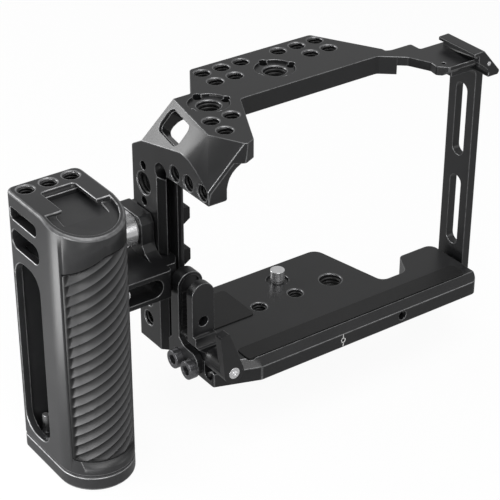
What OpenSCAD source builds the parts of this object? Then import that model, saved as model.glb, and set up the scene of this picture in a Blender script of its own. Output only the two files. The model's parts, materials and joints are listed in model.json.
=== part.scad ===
// Camera cage with a clamp-on side handle and a cable clamp. Millimetres.
// +X is to the right seen from behind the camera, +Y is towards the lens and +Z is up.
// The origin is the mouth of the tripod thread in the underside of the base plate.

/* [Threads] */
// Hole-to-hole distance in every row
pitch = 9.5; // [9:0.25:10]
// Radius of a quarter-inch thread
quarter_r = 3.175; // [3:0.025:3.2]
// Radius of a three-eighths-inch thread
three_eighths_r = 4.7625; // [4.6:0.0125:4.8]
// Radius of the long fixing screws
fixing_r = 1.5; // [1.25:0.25:1.75]
// Countersink at the mouth of a thread
mouth = 0.4; // [0.2:0.1:0.6]
// Gap between parts that are fastened together or slide
gap = 0.3; // [0.25:0.05:0.4]
// Radial clearance of a shaft that turns in a bore
running = 0.05; // [0.03:0.01:0.08]

/* [Frame] */
// Lens axis to the outer face of the left wall
wall_out = 63; // [61:0.5:65]
// Thickness of the left wall
wall_t = 8.5; // [8:0.5:10]
// Front edge of the left wall
wall_front = 26.5; // [25.5:0.5:28]
// Height of the top face above the underside
plate_top = 109.25; // [106:0.25:114]
// Thickness of the top plate
plate_t = 8; // [7:0.5:9]
// Front edge of the top plate
plate_front = 34.2; // [33:0.2:36]
// Thickness of the shoe wing at the right end
wing_t = 4; // [3.5:0.25:5]
// Rear edge of the shoe wing
wing_rear = 25; // [24:0.5:26]
// Height of the drop-down block at the rear of the left wall
drop = 25.25; // [22:0.25:27]

/* [Rail] */
// Width over the two edges of the dovetail rail
rail_w = 21.2; // [20:0.1:22]
// Depth of each slanted flank
flank = 2.8; // [2.4:0.1:3]
// Rear edge of the rail
rail_rear = 5.8; // [5:0.1:6.5]
// Height at which the front flank of the rail runs out
rail_top = 63.5; // [60:0.5:70]

/* [Base plate] */
// Thickness of the base plate
base_t = 9.5; // [8.5:0.25:11]
// Rear edge of the base plate
base_rear = 33.7; // [32:0.1:36]
// Right end of the base plate, in from the outer face of the arm
base_end = 7.1; // [5.1:0.5:9.1]
// Front edge of the base plate
base_front = 24; // [23:0.5:26]
// Slope along the top rear edge
base_slope = 3.2; // [2:0.2:4]
// Thickness of the rubber pads
pad_t = 1.2; // [1:0.1:1.6]
// Distance of the camera screw in front of the tripod thread
screw_front = 13; // [12.5:0.25:13.5]

/* [Right arm] */
// Lens axis to the outer face of the arm
arm_out = 81.6; // [80.6:0.5:84.6]
// Thickness of the arm
arm_t = 4; // [3:0.5:5]
// Width of the arm
arm_w = 16; // [14:0.5:17]

/* [Cable clamp] */
// Thickness of the fixed finger
fixed_t = 5.6; // [4.5:0.1:6.5]
// Thickness of the sliding finger
slider_t = 3.9; // [3:0.1:5]
// Open space between the fingers
finger_gap = 6.5; // [6:0.1:7.5]
// Width of the fixed finger
fixed_w = 12; // [11:0.5:13]
// Height of the finger tips above the underside
finger_top = 43.6; // [40:0.2:46]
// Radius of the clamp screw
shaft_r = 1.5; // [1.25:0.05:1.5]
// Length of the lever from its screw to its tip
lever_len = 19.5; // [16:0.5:21]

/* [Side handle] */
// Width of the handle
grip_w = 31.7; // [30:0.1:34]
// Distance between the handle and the outer face of the left wall
reach = 32; // [30:0.5:36]
// Front face of the handle
grip_front = 14; // [12:0.1:14]
// Straight depth between the front face and the rear round
grip_flat = 30.3; // [28:0.1:32]
// Height of the handle top above the underside of the cage
grip_top = 94; // [92:0.5:97]
// Length of the handle body
grip_len = 112; // [108:0.5:116]
// Wall thickness of the handle tube
grip_wall = 3.2; // [2.8:0.1:3.6]
// Thickness of the rubber insert
rubber_t = 2; // [1.6:0.1:2.4]
// Thickness of the bottom cap
cap_t = 6; // [5:0.5:8]

/* [Rail clamp] */
// Height of the top face of the clamp arm
jaw_arm_top = 46; // [44:0.5:48]
// Thickness of the clamp arm
jaw_arm_t = 12.5; // [11:0.5:13.5]
// Radius of the clamp knob
knob_r = 8.4; // [7.5:0.1:8.6]
// Length of the clamp knob
knob_len = 18; // [15:0.5:19]
// Way that the jaw travels to let go of the rail
jaw_travel = 1.4; // [1:0.1:1.5]

/* [Hidden] */
$fn = 48;
big = 200;
anodised = "#2b2b2d";
black_rubber = "#161617";
bright_steel = "#c9c9cc";

// Left wall and rail
wall_in = wall_out - wall_t;
rail_front = rail_rear + rail_w;
rail_tip_x = -wall_out + flank;
rail_neck_x = -wall_out + 2 * flank;
web_rear = rail_rear - 3.3;
drop_bottom = plate_top - drop;
drop_rear = 28;
channel_edge = 1.5;
channel_top = drop_bottom + 0.4;
plate_under = plate_top - plate_t;
wing_under = plate_top - wing_t;

// Facet fan at the left shoulder: A is where the two facets meet on the top face
facet_a = [-56.6, -18.6, plate_top];
facet_front = [-50.1, 15.2, plate_top];
facet_rear = [-49, -33, plate_top];
facet_edge_cut = 0.45;
facet_front_low = [-wall_out, 19.3, plate_top - 16.3];
fan_low = [[-wall_out, -9, plate_top - 9.9], [-wall_out, -14, plate_top - 10.6],
           [-wall_out, -19.1, plate_top - 13.1], [-wall_out, -drop_rear, plate_top - 19.6]];
window_n = plane_normal(facet_front, facet_a, facet_front_low);
window_size = [10.4, 19];
window_at = [2.6, 2.6];
window_step = 0.5;
window_step_depth = 1.2;

// Base plate and its fixings
foot_t = 4;
foot_w = 16;
foot_y = 13;
foot_in = 40;
foot_screw_x = -(wall_in - 7.5);
base_left = wall_out - 2;
corner_x = 41.7;
corner_y = 26.9;
notch_y = web_rear - gap;
head_r = fixing_r * 1.85;
head_h = 2;
pad_sink = pad_t - 0.5;
ring_wire = 0.9;
ring_r = 6.3;
screw_head_r = 5.1;
screw_head_z = 1;
screw_recess_r = 8;
screw_recess = 3.5;
screw_tip = base_t + 5.2;
clip_t = 0.8;
clip_r = 4.4;
screw_neck_r = 2.8;
clip_gap = 0.1;
clip_groove = 0.5;
clip_z = base_t - 1.7;

// Right arm
arm_y = -arm_w / 2 - 3.6;
base_right = arm_out - base_end;
arm_in = arm_out - 17.8;
arm_foot_in = base_right - 12.5;
shoe_inner = arm_out - 5.8;
rail_lip_x = arm_out - 13.8;
rail_pin_r = 0.9;
rail_pin_x = arm_out - 5.6;
rail_pin_z = plate_top - 1.75;
lug_w = 7;
lip_slot = 2.75;
lip_t = 1.6;

// Cable clamp
foot_plate_t = 3;
fixed_front = -1.2;
fixed_rear = fixed_front - fixed_t;
slider_front = fixed_rear - finger_gap;
slider_rear = slider_front - slider_t;
fixed_x = -(wall_out + 1 - fixed_w / 2);
slider_w = fixed_w - 1.3;
slider_x = fixed_x - 0.9;
shaft_x = fixed_x - 0.4;
shaft_z = base_t + 2.9;
sleeve_r = 4.6;
step_high_z = 20.4;
step_low_z = 16.5;
step_rear = slider_rear - 2;
block_rear = slider_rear - 4.3;
sleeve_front = block_rear - 2.3;
lever_front = -(base_rear + 1.3);
lever_t = 3;
tab_front = -(base_rear + 0.4);
lever_tilt = 13;
cap_head_r = 4;
cap_head_h = 2.6;
bracket_screw_y = [fixed_front - 5.1, fixed_front - 15];
bracket_screw_z = 4.8;
pad_proud = 0.4;
pad_recess = 1.2;
slider_pad_t = 1;
tooth = 0.5;

// Side handle and rail clamp
grip_right = -(wall_out + reach);
grip_x = grip_right - grip_w / 2;
grip_r = grip_w / 2;
grip_round_y = grip_front - grip_flat;
grip_rear = grip_round_y - grip_r;
grip_low = grip_top - grip_len;
deck_t = 11;
jaw_arm_low = jaw_arm_top - jaw_arm_t;
jaw_arm_rear = -4.7;
jaw_arm_front = 31.5;
nose_y = fixed_front + 0.6;
rest_gap = 0.1;
knob_z = jaw_arm_top + knob_r + 1.7;
knob_y = 18.7;
jaw_out = wall_out + 6.3;
jaw_plate_t = 2.3;
post_t = 2.3;
post_rear = 11;
post_top = rail_top - 0.5;
lip_t_post = 2.2;
jaw_low = jaw_arm_top + 1;
jaw_high = post_top - lip_t_post - gap;
jaw_rear = post_rear + lip_t_post + gap;
jaw_front = 31.5;
jaw_edge = rail_front + 0.3;
washer_t = 0.6;
knob_right = -(jaw_out + washer_t + gap);
bolt_r = 2.5;
bolt_z = (jaw_arm_top + jaw_arm_low) / 2;
bolt_y = [-1, 6.5];
bolt_head_r = bolt_r * 1.4;
grip_arc = 64;
groove_pitch = 6.6;
groove_tilt = 39;
edge_slant = 27;
groove_depth = 0.8;
grip_low_z = grip_low + 8;
grip_high_z = grip_top - 12.7;

// ---------- shared shapes ----------

function unit(v) = v / norm(v);
function plane_normal(a, b, c) = let (n = unit(cross(b - a, c - a))) n.z > 0 ? n : -n;

// One corner of an outline: an arc of radius r that joins the edges p-q and q-s
function corner_arc(p, q, s, r, steps) =
    r == 0 ? [q] :
    let (u = unit(p - q),
         v = unit(s - q),
         half = acos(max(-1, min(1, u * v))) / 2,
         centre = q + unit(u + v) * r / sin(half),
         from = q + u * r / tan(half) - centre,
         sweep = (180 - 2 * half) * sign(cross(from, q + v * r / tan(half) - centre)))
    [for (i = [0:steps]) let (t = sweep * i / steps)
        centre + [from.x * cos(t) - from.y * sin(t), from.x * sin(t) + from.y * cos(t)]];

// Outline through corners given as [x, y, radius]
function rounded(c, steps = 6) =
    [for (i = [0:len(c) - 1])
        let (p = c[(i + len(c) - 1) % len(c)], q = c[i], s = c[(i + 1) % len(c)])
        each corner_arc([p[0], p[1]], [q[0], q[1]], [s[0], s[1]], q[2], steps)];

function slab(x0, x1, y0, y1, r) = rounded([[x0, y0, r], [x1, y0, r], [x1, y1, r], [x0, y1, r]]);

// Outline in Y and Z, drawn out along X from x by t
module panel(x, t, outline)
    translate([x, 0, 0]) rotate([90, 0, 90]) linear_extrude(t) polygon(outline);

// Outline in X and Z, drawn out along Y from y0 to y1
module beam(y0, y1, outline)
    translate([0, y1, 0]) rotate([90, 0, 0]) linear_extrude(y1 - y0) polygon(outline);

// Outline in X and Y, drawn out along Z from z0 to z1
module plate(z0, z1, outline)
    translate([0, 0, z0]) linear_extrude(z1 - z0) polygon(outline);

module rod_x(x0, x1, y, z, r) translate([x0, y, z]) rotate([0, 90, 0]) cylinder(r = r, h = x1 - x0);
module rod_y(y0, y1, x, z, r) translate([x, y1, z]) rotate([90, 0, 0]) cylinder(r = r, h = y1 - y0);
module rod_z(z0, z1, x, y, r) translate([x, y, z0]) cylinder(r = r, h = z1 - z0);

// Everything on the outer side of the plane through p with normal n
module beyond(p, n)
    translate(p) rotate([0, acos(n.z), atan2(n.y, n.x)]) translate([-big, -big, 0]) cube(2 * big);

// Hole through z0..z1 with a countersunk mouth at the top
module tapped_z(x, y, z0, z1, r) {
    rod_z(z0 - 1, z1 + 1, x, y, r);
    translate([x, y, z1 - mouth]) cylinder(r1 = r, r2 = r + 2 * mouth, h = 2 * mouth);
}

// The same along X, with its mouth on the left
module tapped_x(y, z, x0, x1, r) {
    rod_x(x0 - 1, x1 + 1, y, z, r);
    translate([x0 + mouth, y, z]) rotate([0, -90, 0]) cylinder(r1 = r, r2 = r + 2 * mouth, h = 2 * mouth);
}

// Six-sided key socket, cut downwards from the origin
module key_socket(r, depth) translate([0, 0, -depth]) cylinder(r = r, h = depth + 1, $fn = 6);

// Fixing screw along +Z with its flat head at z
module fixing_screw(x, y, z, length) {
    difference() {
        union() {
            rod_z(z, z + head_h, x, y, head_r - 0.1);
            rod_z(z + head_h, z + length, x, y, fixing_r - running);
        }
        translate([x, y, z]) rotate([180, 0, 0]) key_socket(head_r * 0.45, head_h * 0.6);
    }
}

module fixing_hole(x, y, z, length) {
    rod_z(-1, z + head_h, x, y, head_r);
    rod_z(z, z + length + gap, x, y, fixing_r);
}

// ---------- frame ----------

plate_outline = rounded([
    [-wall_out, 15.2, 0], [-41.9, 15.3, 2], [-29.8, plate_front, 2.5], [31, plate_front, 2],
    [48.6, 2.2, 5], [59.8, 2.2, 1], [59.8, -3.9, 1], [shoe_inner, -3.9, 1.5],
    [shoe_inner, -12, 0], [50.3, -7.5, 2], [40.5, 0.6, 3],
    [-28.5, 0.2, 2.5], [-44.4, -31.1, 1], [-49, -33.2, 0], [-wall_out, -33.2, 0]]);

wing_outline = rounded([
    [46, 4.2, 0], [48.6, 2.2, 5], [59.8, 2.2, 1], [59.8, -3.9, 1], [shoe_inner, -3.9, 0],
    [shoe_inner, -wing_rear, 0], [57.5, -wing_rear, 1.5], [53.9, -wing_rear + 4, 1.5], [54.6, -17, 2],
    [50.3, -7.5, 2], [44, -2.2, 0]]);

thick_edge = 47;

module shoulder_blank() {
    intersection() {
        beam(-34, 20, rounded([
            [-wall_out, drop_bottom, 1], [-wall_in, drop_bottom, 1], [-wall_in, plate_under, 9],
            [-40, plate_under, 0], [-40, plate_top, 0], [-wall_out, plate_top, 0]]));
        panel(-big, 2 * big, rounded([
            [-drop_rear, drop_bottom, 1.5], [-drop_rear, plate_top - 19.75, 0], [-33.1, plate_top, 0],
            [15.2, plate_top, 0], [19.3, plate_top - 16.3, 0], [19.3, drop_bottom, 0]]));
        union() {
            plate(0, big, plate_outline);
            plate(0, big, slab(-wall_out, -35, 10, 25, 0));
        }
    }
}

// Section through the upright wall in X and Y: web, neck and dovetail rail
module rail_section(front_cut) polygon([
    [-wall_out, rail_rear + flank], [-wall_out, front_cut ? rail_front - flank : wall_front],
    [rail_tip_x, front_cut ? rail_front : wall_front],
    [rail_neck_x, front_cut ? rail_front - flank : wall_front],
    [-wall_in, front_cut ? rail_front - flank : wall_front], [-wall_in, web_rear],
    [rail_neck_x, web_rear], [rail_neck_x, rail_rear + flank], [rail_tip_x, rail_rear]]);

module wall_blank() {
    intersection() {
        linear_extrude(rail_top) rail_section(true);
        panel(-big, 2 * big, slab(-10, rail_front, 0, 2 * big, 2.5));
    }
    intersection() {
        translate([0, 0, rail_top]) linear_extrude(plate_top - 16 - rail_top) rail_section(false);
        panel(-wall_out, wall_t, rounded([
            [web_rear, rail_top, 0], [wall_front, rail_top, 0], [wall_front, plate_top - 20.5, 1.5],
            [19.3, plate_top - 16.3, 0], [web_rear, plate_top - 16, 0]]));
    }
    panel(-wall_out, wall_t, [
        [channel_edge, drop_bottom], [rail_rear + flank, channel_top + 4], [19.3, channel_top + 4],
        [19.3, plate_top - 16.3], [channel_edge, plate_top - 16.3]]);
}

module frame_foot()
    plate(0, foot_t, slab(-wall_in - 1, -foot_in, foot_y - foot_w / 2, foot_y + foot_w / 2, 2));

module shoe_rail() {
    slope = [arm_out + 0.8, plate_top - 6.4];
    neck_x = rail_lip_x + 2.6;
    difference() {
        beam(-wing_rear - 3.5, -6, rounded([
            [neck_x, plate_top - 0.5, 0], [neck_x, plate_top + lip_slot, 0.4],
            [rail_lip_x, plate_top + lip_slot, 0.4], [rail_lip_x, plate_top + lip_slot + lip_t, 0.5],
            [neck_x + 2.6, plate_top + lip_slot + lip_t + 0.2, 1], [slope.x, slope.y, 1.2],
            [slope.x - 1, plate_top - 7.9, 0.8], [shoe_inner - 0.2, plate_top - 7.9, 0.5],
            [shoe_inner + 0.6, plate_top - 6.1, 1], [shoe_inner - 0.7, plate_top - wing_t, 1.5],
            [neck_x + 1.6, plate_top - 1.6, 0]]));
        translate([60, arm_y - arm_w / 2 - gap, wing_under - big]) cube([big, 40, big]);
    }
}

ring_depth = 1.1;
last_n = plane_normal(facet_a, fan_low[3], facet_rear);
edge_n = unit(last_n + unit([0, -19.75, -5.1]));

module top_holes() {
    front_row = plate_front - 5.7;
    for (i = [0:2]) {
        tapped_z(-8.55 - i * pitch, front_row, plate_under, plate_top, quarter_r);
        tapped_z(10.45 + i * pitch, front_row, plate_under, plate_top, quarter_r);
    }
    for (i = [0:1]) {
        tapped_z(-18.05 - i * pitch, front_row - pitch, plate_under, plate_top, quarter_r);
        tapped_z(19.95 + i * pitch, front_row - pitch, plate_under, plate_top, quarter_r);
        tapped_z(-39.7 - i * pitch, -pitch, plate_under - 12, plate_top, quarter_r);
    }
    tapped_z(-39.7 - pitch, -2 * pitch, plate_under - 12, plate_top, quarter_r);
    for (spot = [[-40.9, 4.1], [-0.8, 15.4]]) {
        tapped_z(spot.x, spot.y, plate_under - 12, plate_top - ring_depth, three_eighths_r);
        rod_z(plate_top - ring_depth, plate_top + 1, spot.x, spot.y, 8.4);
        for (a = [0, 90]) translate([spot.x, spot.y, plate_top - 3.4]) rotate(a)
            translate([8.1, 0, 0]) cylinder(r = 1.7, h = 5);
        for (a = [180, 270]) translate([spot.x, spot.y, plate_top - 2]) rotate(a)
            translate([6.6, -1.4, 0]) cube([0.8, 2.8, 4]);
    }
}

locating_y = grip_front + 4.4;

module wall_holes() {
    for (i = [0:2]) tapped_x(-4.4 - i * pitch, drop_bottom + 4.3, -wall_out, -wall_in, quarter_r);
    for (i = [0:1]) tapped_x(17.6, 10.9 + i * pitch, -wall_out, -wall_in, quarter_r);
    tapped_x(locating_y, plate_top - 35, -wall_out, -wall_in, three_eighths_r);
    for (s = [-1, 1]) rod_x(-wall_out - 1, -wall_in + 1, locating_y, plate_top - 35 + s * 8.05, 1.9);
}

module strap_window() {
    translate(facet_front) rotate([0, acos(window_n.z), atan2(window_n.y, window_n.x)])
    translate([window_at.x, window_at.y, 0]) {
        translate([0, 0, -window_step_depth]) linear_extrude(10)
            polygon(slab(0, window_size.x, 0, window_size.y, 3));
        translate([0, 0, -16]) linear_extrude(20) polygon(slab(
            window_step, window_size.x - window_step, window_step, window_size.y - window_step, 2.4));
    }
}

module cage_frame() color(anodised) difference() {
    union() {
        intersection() {
            plate(plate_under, plate_top, plate_outline);
            translate([-big + thick_edge, -big, 0]) cube(2 * big * [0.5, 1, 1]);
        }
        plate(wing_under, plate_top, wing_outline);
        shoulder_blank();
        wall_blank();
        frame_foot();
        shoe_rail();
    }
    beyond(facet_a, window_n);
    for (i = [0:2]) beyond(facet_a, plane_normal(facet_a, fan_low[i], fan_low[i + 1]));
    beyond(facet_a, last_n);
    beyond(facet_rear - facet_edge_cut * edge_n, edge_n);
    top_holes();
    wall_holes();
    strap_window();
    rod_x(-wall_out - 1, rail_neck_x, rail_rear - 0.2, channel_top, 4.1);
    rod_y(-wing_rear - 4, -wing_rear + 3, rail_pin_x, rail_pin_z, rail_pin_r);
    for (y = [-pitch / 2, pitch / 2]) fixing_hole(foot_screw_x, foot_y + y, gap, base_t - 2);
    for (y = [-pitch / 2, pitch / 2]) rod_z(0, plate_top - 0.8, arm_in + 5, arm_y + y, fixing_r);
    translate([arm_in - 5.4, arm_y - 8.7, plate_top - 1]) cylinder(r = 0.9, h = 2);
    intersection() {
        translate([arm_in - 13, -wing_rear - 1, wing_under - 1]) cube([shoe_inner - arm_in + 11, 8, 6]);
        beyond([0, -wing_rear, plate_top - 1.9], unit([0, -1, -1]));
    }
}

module side_lugs() color(black_rubber)
    for (z = [plate_top - 64.25, plate_top - 45.25]) beam(web_rear, web_rear + lug_w, rounded([
        [-wall_in, z + 3.2, 0], [-wall_in + 3, z + 3.2, 0.5], [-wall_in + 3, z - 2, 0.5],
        [-wall_in, z - 4, 0]]));

// Steel pin in the end of the hooked lip
module rail_pin() color(bright_steel)
    rod_y(-wing_rear - 3.7, -wing_rear + 3, rail_pin_x, rail_pin_z, rail_pin_r - 0.02);

// ---------- base plate ----------

base_outline = rounded([
    [-base_left, -corner_y, 1], [-corner_x, -base_rear, 3], [base_right, -base_rear, 3],
    [base_right, arm_y + arm_w / 2 + 1.5, 4], [arm_foot_in - 6, arm_y + arm_w / 2 + 1.5, 3],
    [arm_foot_in - 12, arm_y - 2, 4], [37, arm_y - 2, 4], [29, base_front, 5],
    [-wall_in, base_front, 0], [-wall_in, notch_y, 0], [-base_left, notch_y, 1]]);

module base_edge_cut() {
    angle = atan2(base_rear - corner_y, base_left - corner_x);
    for (a = [0, angle]) beyond([-corner_x, -base_rear, base_t - base_slope],
                                unit([-sin(a), -cos(a), 1]));
}

module base_plate() color(anodised) difference() {
    plate(0, base_t, base_outline);
    base_edge_cut();
    for (x = [-2 * pitch, 0]) {
        tapped_z(x, 0, 0, base_t, quarter_r);
        translate([x, 0, -mouth]) cylinder(r1 = quarter_r + 2 * mouth, r2 = quarter_r, h = 2 * mouth);
    }
    tapped_z(2 * pitch, 0, 0, base_t, three_eighths_r);
    rod_z(-1, screw_recess, 0, screw_front, screw_recess_r);
    rod_z(0, base_t + 1, 0, screw_front, screw_neck_r + running);
    rod_z(clip_z, base_t + 1, 0, screw_front, clip_r + 0.5);
    plate(-1, foot_t, slab(-wall_in - 2, -foot_in + gap, foot_y - foot_w / 2 - gap,
                           foot_y + foot_w / 2 + gap, 2));
    for (y = [-pitch / 2, pitch / 2]) fixing_hole(foot_screw_x, foot_y + y, gap, base_t - 2);
    plate(-1, foot_t, slab(arm_foot_in - gap, base_right + 9, arm_y - arm_w / 2 - gap,
                           arm_y + arm_w / 2 + gap, 0));
    panel(-base_left - 1, 6, slab(block_rear - 4.5, block_rear + 0.9, 2.2, base_t + 3, 2));
    for (y = [-pitch / 2, pitch / 2]) fixing_hole(arm_foot_in + 6, arm_y + y, gap, base_t - 2);
    translate([0, 0, base_t - pad_sink]) linear_extrude(big) {
        polygon(rear_pad_outline);
        polygon(front_pad_outline);
    }
    rod_y(-base_rear - 2, sleeve_front + 1.2, shaft_x, shaft_z, sleeve_r + 0.5);
    for (y = bracket_screw_y) rod_x(-base_left - 1, -base_left + 9, y, bracket_screw_z, 2);
    rod_y(-base_rear - 1, -base_rear + 7, 32, 3.7, 2);
    rod_y(-base_rear - 1, -base_rear + 0.3, 0, base_t * 0.34, 1.1);
    translate([-0.2, -base_rear - 1, 0.6]) cube([0.4, 1.3, base_t * 0.6 - 1.2]);
    plate(-1, 2.5, slab(26, 50, -30, -21, 3));
    plate(-1, 2.5, slab(-24, 20, -30, -12, 3));
}

rear_pad_outline = slab(15 - base_left, base_right - 4.5, 3.5 - base_rear, 12.2 - base_rear, 2);
front_pad_outline = slab(15 - base_left, 37 - base_left, -4, base_front - 5, 2);

module base_pads() color(black_rubber)
    for (outline = [rear_pad_outline, front_pad_outline])
        plate(base_t - pad_sink, base_t - pad_sink + pad_t, outline);

module frame_screws() color(bright_steel)
    for (y = [-pitch / 2, pitch / 2]) fixing_screw(foot_screw_x, foot_y + y, gap, base_t - 2);

// ---------- camera screw ----------

module camera_screw() color(bright_steel) difference() {
    union() {
        rod_z(screw_head_z, screw_recess - running, 0, screw_front, screw_head_r);
        rod_z(screw_recess - 1, base_t + gap, 0, screw_front, screw_neck_r);
        rod_z(base_t + gap, screw_tip, 0, screw_front, quarter_r);
    }
    rod_x(-big, big, screw_front, screw_head_z + ring_wire, ring_wire + running);
    translate([-0.6, screw_front - 10, -1]) cube([1.2, 20, screw_head_z + 1.8]);
    difference() {
        rod_z(clip_z, clip_z + clip_t + 2 * running, 0, screw_front, 5);
        rod_z(clip_z - 1, clip_z + clip_t + 1, 0, screw_front, screw_neck_r - clip_groove);
    }
}

module screw_ring() color(bright_steel) translate([0, screw_front, screw_head_z + ring_wire]) {
    rotate([0, 0, 180]) rotate_extrude(angle = 180) translate([ring_r, 0]) circle(r = ring_wire);
    for (s = [-1, 1]) {
        translate([s * ring_r, 0, 0]) sphere(r = ring_wire);
        rod_x(s > 0 ? screw_head_r - 1.6 : -ring_r, s > 0 ? ring_r : -screw_head_r + 1.6, 0, 0, ring_wire);
    }
}

module screw_clip() color(anodised) difference() {
    rod_z(clip_z + running, clip_z + running + clip_t, 0, screw_front, clip_r);
    rod_z(clip_z - 1, clip_z + 3, 0, screw_front, screw_neck_r - clip_groove);
    translate([-1.2, screw_front, clip_z - 1]) cube([2.4, 10, 4]);
}

// ---------- right arm ----------

module right_arm() color(anodised) difference() {
    beam(arm_y - arm_w / 2, arm_y + arm_w / 2, rounded([
        [arm_foot_in, 0, 0.5], [arm_out, 0, 3], [arm_out, wing_under, 1],
        [arm_in, wing_under, 0.5], [arm_in, wing_under - foot_t, 0.5],
        [arm_out - arm_t, wing_under - foot_t, 3], [arm_out - arm_t, foot_t, 3],
        [arm_foot_in, foot_t, 0.5]]));
    for (y = [-pitch / 2, pitch / 2]) {
        fixing_hole(arm_foot_in + 6, arm_y + y, gap, base_t - 2);
        rod_z(wing_under - foot_t - 1, wing_under - foot_t + head_h, arm_in + 5, arm_y + y, head_r);
        rod_z(wing_under - foot_t, wing_under + 1, arm_in + 5, arm_y + y, fixing_r);
    }
    for (z = [14, 58]) panel(arm_out - arm_t - 1, arm_t + 2, slab(
        arm_y - 3.4, arm_y + 3.4, z, z + 34, 3.3));
}

module arm_screws() color(bright_steel)
    for (y = [-pitch / 2, pitch / 2]) {
        fixing_screw(arm_foot_in + 6, arm_y + y, gap, base_t - 2);
        fixing_screw(arm_in + 5, arm_y + y, wing_under - foot_t, foot_t + wing_t - 1);
    }

// ---------- cable clamp ----------

// Finger outline in X and Z with a round tip
function finger(x, w, z0, z1) = concat(
    [[x - w / 2, z0], [x + w / 2, z0]],
    [for (a = [0:10:180]) [x + w / 2 * cos(a), z1 - w / 2 + w / 2 * sin(a)]]);

module cable_bracket() color(anodised) difference() {
    union() {
        panel(-base_left - foot_plate_t, foot_plate_t, rounded([
            [1, 1.2, 2.5], [1, 10.5, 2], [fixed_front, 12.7, 1], [fixed_front, 18, 0],
            [fixed_rear, 18, 0], [fixed_rear, 14.8, 1], [fixed_rear - 3, 12.2, 1],
            [-17, 12, 2.5], [-19.8, 9.5, 2], [-19.8, 5, 2], [-17.2, 1.2, 2]]));
        beam(fixed_rear, fixed_front, finger(fixed_x, fixed_w, base_t, finger_top));
    }
    beam(fixed_rear - 1, fixed_rear + pad_recess,
         finger(fixed_x, fixed_w - 3.2, base_t + 8, finger_top - 1.6));
    rod_y(fixed_rear - 1, fixed_front + 1, shaft_x, shaft_z, shaft_r + running);
    for (y = bracket_screw_y) {
        rod_x(-base_left - foot_plate_t - 1, -base_left + 1, y, bracket_screw_z, 2.1);
        rod_x(-base_left - foot_plate_t - 1, -base_left - foot_plate_t + 0.6, y, bracket_screw_z,
              cap_head_r + 0.15);
    }
}

module bracket_screws() color(bright_steel)
    for (y = bracket_screw_y) difference() {
        union() {
            rod_x(-base_left - foot_plate_t + 0.6 - cap_head_h - 1.2, -base_left - foot_plate_t + 0.6,
                  y, bracket_screw_z, cap_head_r);
            rod_x(-base_left - foot_plate_t + 0.6, -base_left + 8, y, bracket_screw_z, 2 - running);
        }
        translate([-base_left - foot_plate_t - cap_head_h - 0.6, y, bracket_screw_z])
            rotate([0, -90, 0]) key_socket(2.3, 2.2);
    }

module cable_finger() color(anodised) difference() {
    union() {
        beam(slider_rear, slider_front, finger(slider_x, slider_w, step_high_z, finger_top));
        intersection() {
            beam(block_rear, slider_front, [
                [slider_x - slider_w / 2, step_high_z], [slider_x - slider_w / 2, step_low_z],
                [-base_left + gap, step_low_z - 3], [-base_left + gap, base_t + gap],
                [shaft_x + 4.4, base_t + gap], [shaft_x + 4.4, step_high_z]]);
            panel(-big, 2 * big, rounded([
                [slider_front, base_t + gap, 0], [slider_front, step_high_z, 0],
                [step_rear, step_high_z, 0.5], [step_rear, step_low_z, 0],
                [block_rear, step_low_z, 0.5], [block_rear, base_t + gap, 1.5]]));
        }
    }
    rod_y(block_rear - 1, slider_front + 1, shaft_x, shaft_z, shaft_r + running);
    rod_y(slider_rear - 1, slider_front + 1, slider_x, 26, 2.2);
}

// Row of shallow grooves across the face of a pad that lies at y
module pad_teeth(x, y, z0, z1)
    for (z = [z0 + 1.5 : 2.2 : z1 - 1.5])
        translate([x - fixed_w, y, z - tooth / sqrt(2)]) rotate([45, 0, 0])
            cube([2 * fixed_w, tooth, tooth]);

module fixed_pad() color(black_rubber) difference() {
    beam(fixed_rear - pad_proud, fixed_rear + pad_recess,
         slab(fixed_x - fixed_w / 2 + 1.7, fixed_x + fixed_w / 2 - 1.7, base_t + 8.1, finger_top - 8, 0.5));
    pad_teeth(fixed_x, fixed_rear - pad_proud, base_t + 8, finger_top - 8);
}

module slider_pad() color(black_rubber) difference() {
    beam(slider_front, slider_front + slider_pad_t,
         slab(slider_x - slider_w / 2 + 1, slider_x + slider_w / 2 - 1, 21.5, finger_top - 6, 0.8));
    pad_teeth(slider_x, slider_front + slider_pad_t, 21.5, finger_top - 6);
}

module clamp_shaft() color(bright_steel)
    rod_y(lever_front - lever_t + 1.2, fixed_front + clip_gap + 0.3, shaft_x, shaft_z, shaft_r);

module shaft_clip() color(bright_steel) difference() {
    rod_y(fixed_front + clip_gap, fixed_front + clip_gap + 0.45, shaft_x, shaft_z, 2.6);
    rod_y(fixed_front - 1, fixed_front + clip_gap + 0.3, shaft_x, shaft_z, shaft_r);
}

module cable_lever() color(anodised) difference() {
    union() {
        rod_y(lever_front - lever_t, sleeve_front, shaft_x, shaft_z, sleeve_r);
        translate([shaft_x, 0, shaft_z]) rotate([0, -lever_tilt, 0]) {
            beam(lever_front - lever_t, lever_front, rounded([
                [-sleeve_r, 0, 0], [sleeve_r, 0, 0], [2.1, lever_len, 0.8], [-2.1, lever_len, 0.8]]));
            beam(lever_front - lever_t, tab_front, rounded([
                [-3.7, sleeve_r + 1.6, 0.5], [3.7, sleeve_r + 1.6, 0.5], [2.1, lever_len, 0.8],
                [-2.1, lever_len, 0.8]]));
        }
    }
    rod_y(lever_front - lever_t - 1, sleeve_front + 1, shaft_x, shaft_z, shaft_r);
    rod_y(lever_front - lever_t - 1, lever_front - lever_t + 1.6, shaft_x, shaft_z, 2.5);
}

module lever_screw() color(bright_steel) difference() {
    rod_y(lever_front - lever_t - 0.2, lever_front - lever_t + 1.2, shaft_x, shaft_z, 2.45);
    translate([shaft_x, lever_front - lever_t - 0.2, shaft_z]) rotate([90, 0, 0]) key_socket(1.15, 1);
}

// ---------- rail clamp ----------

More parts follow.
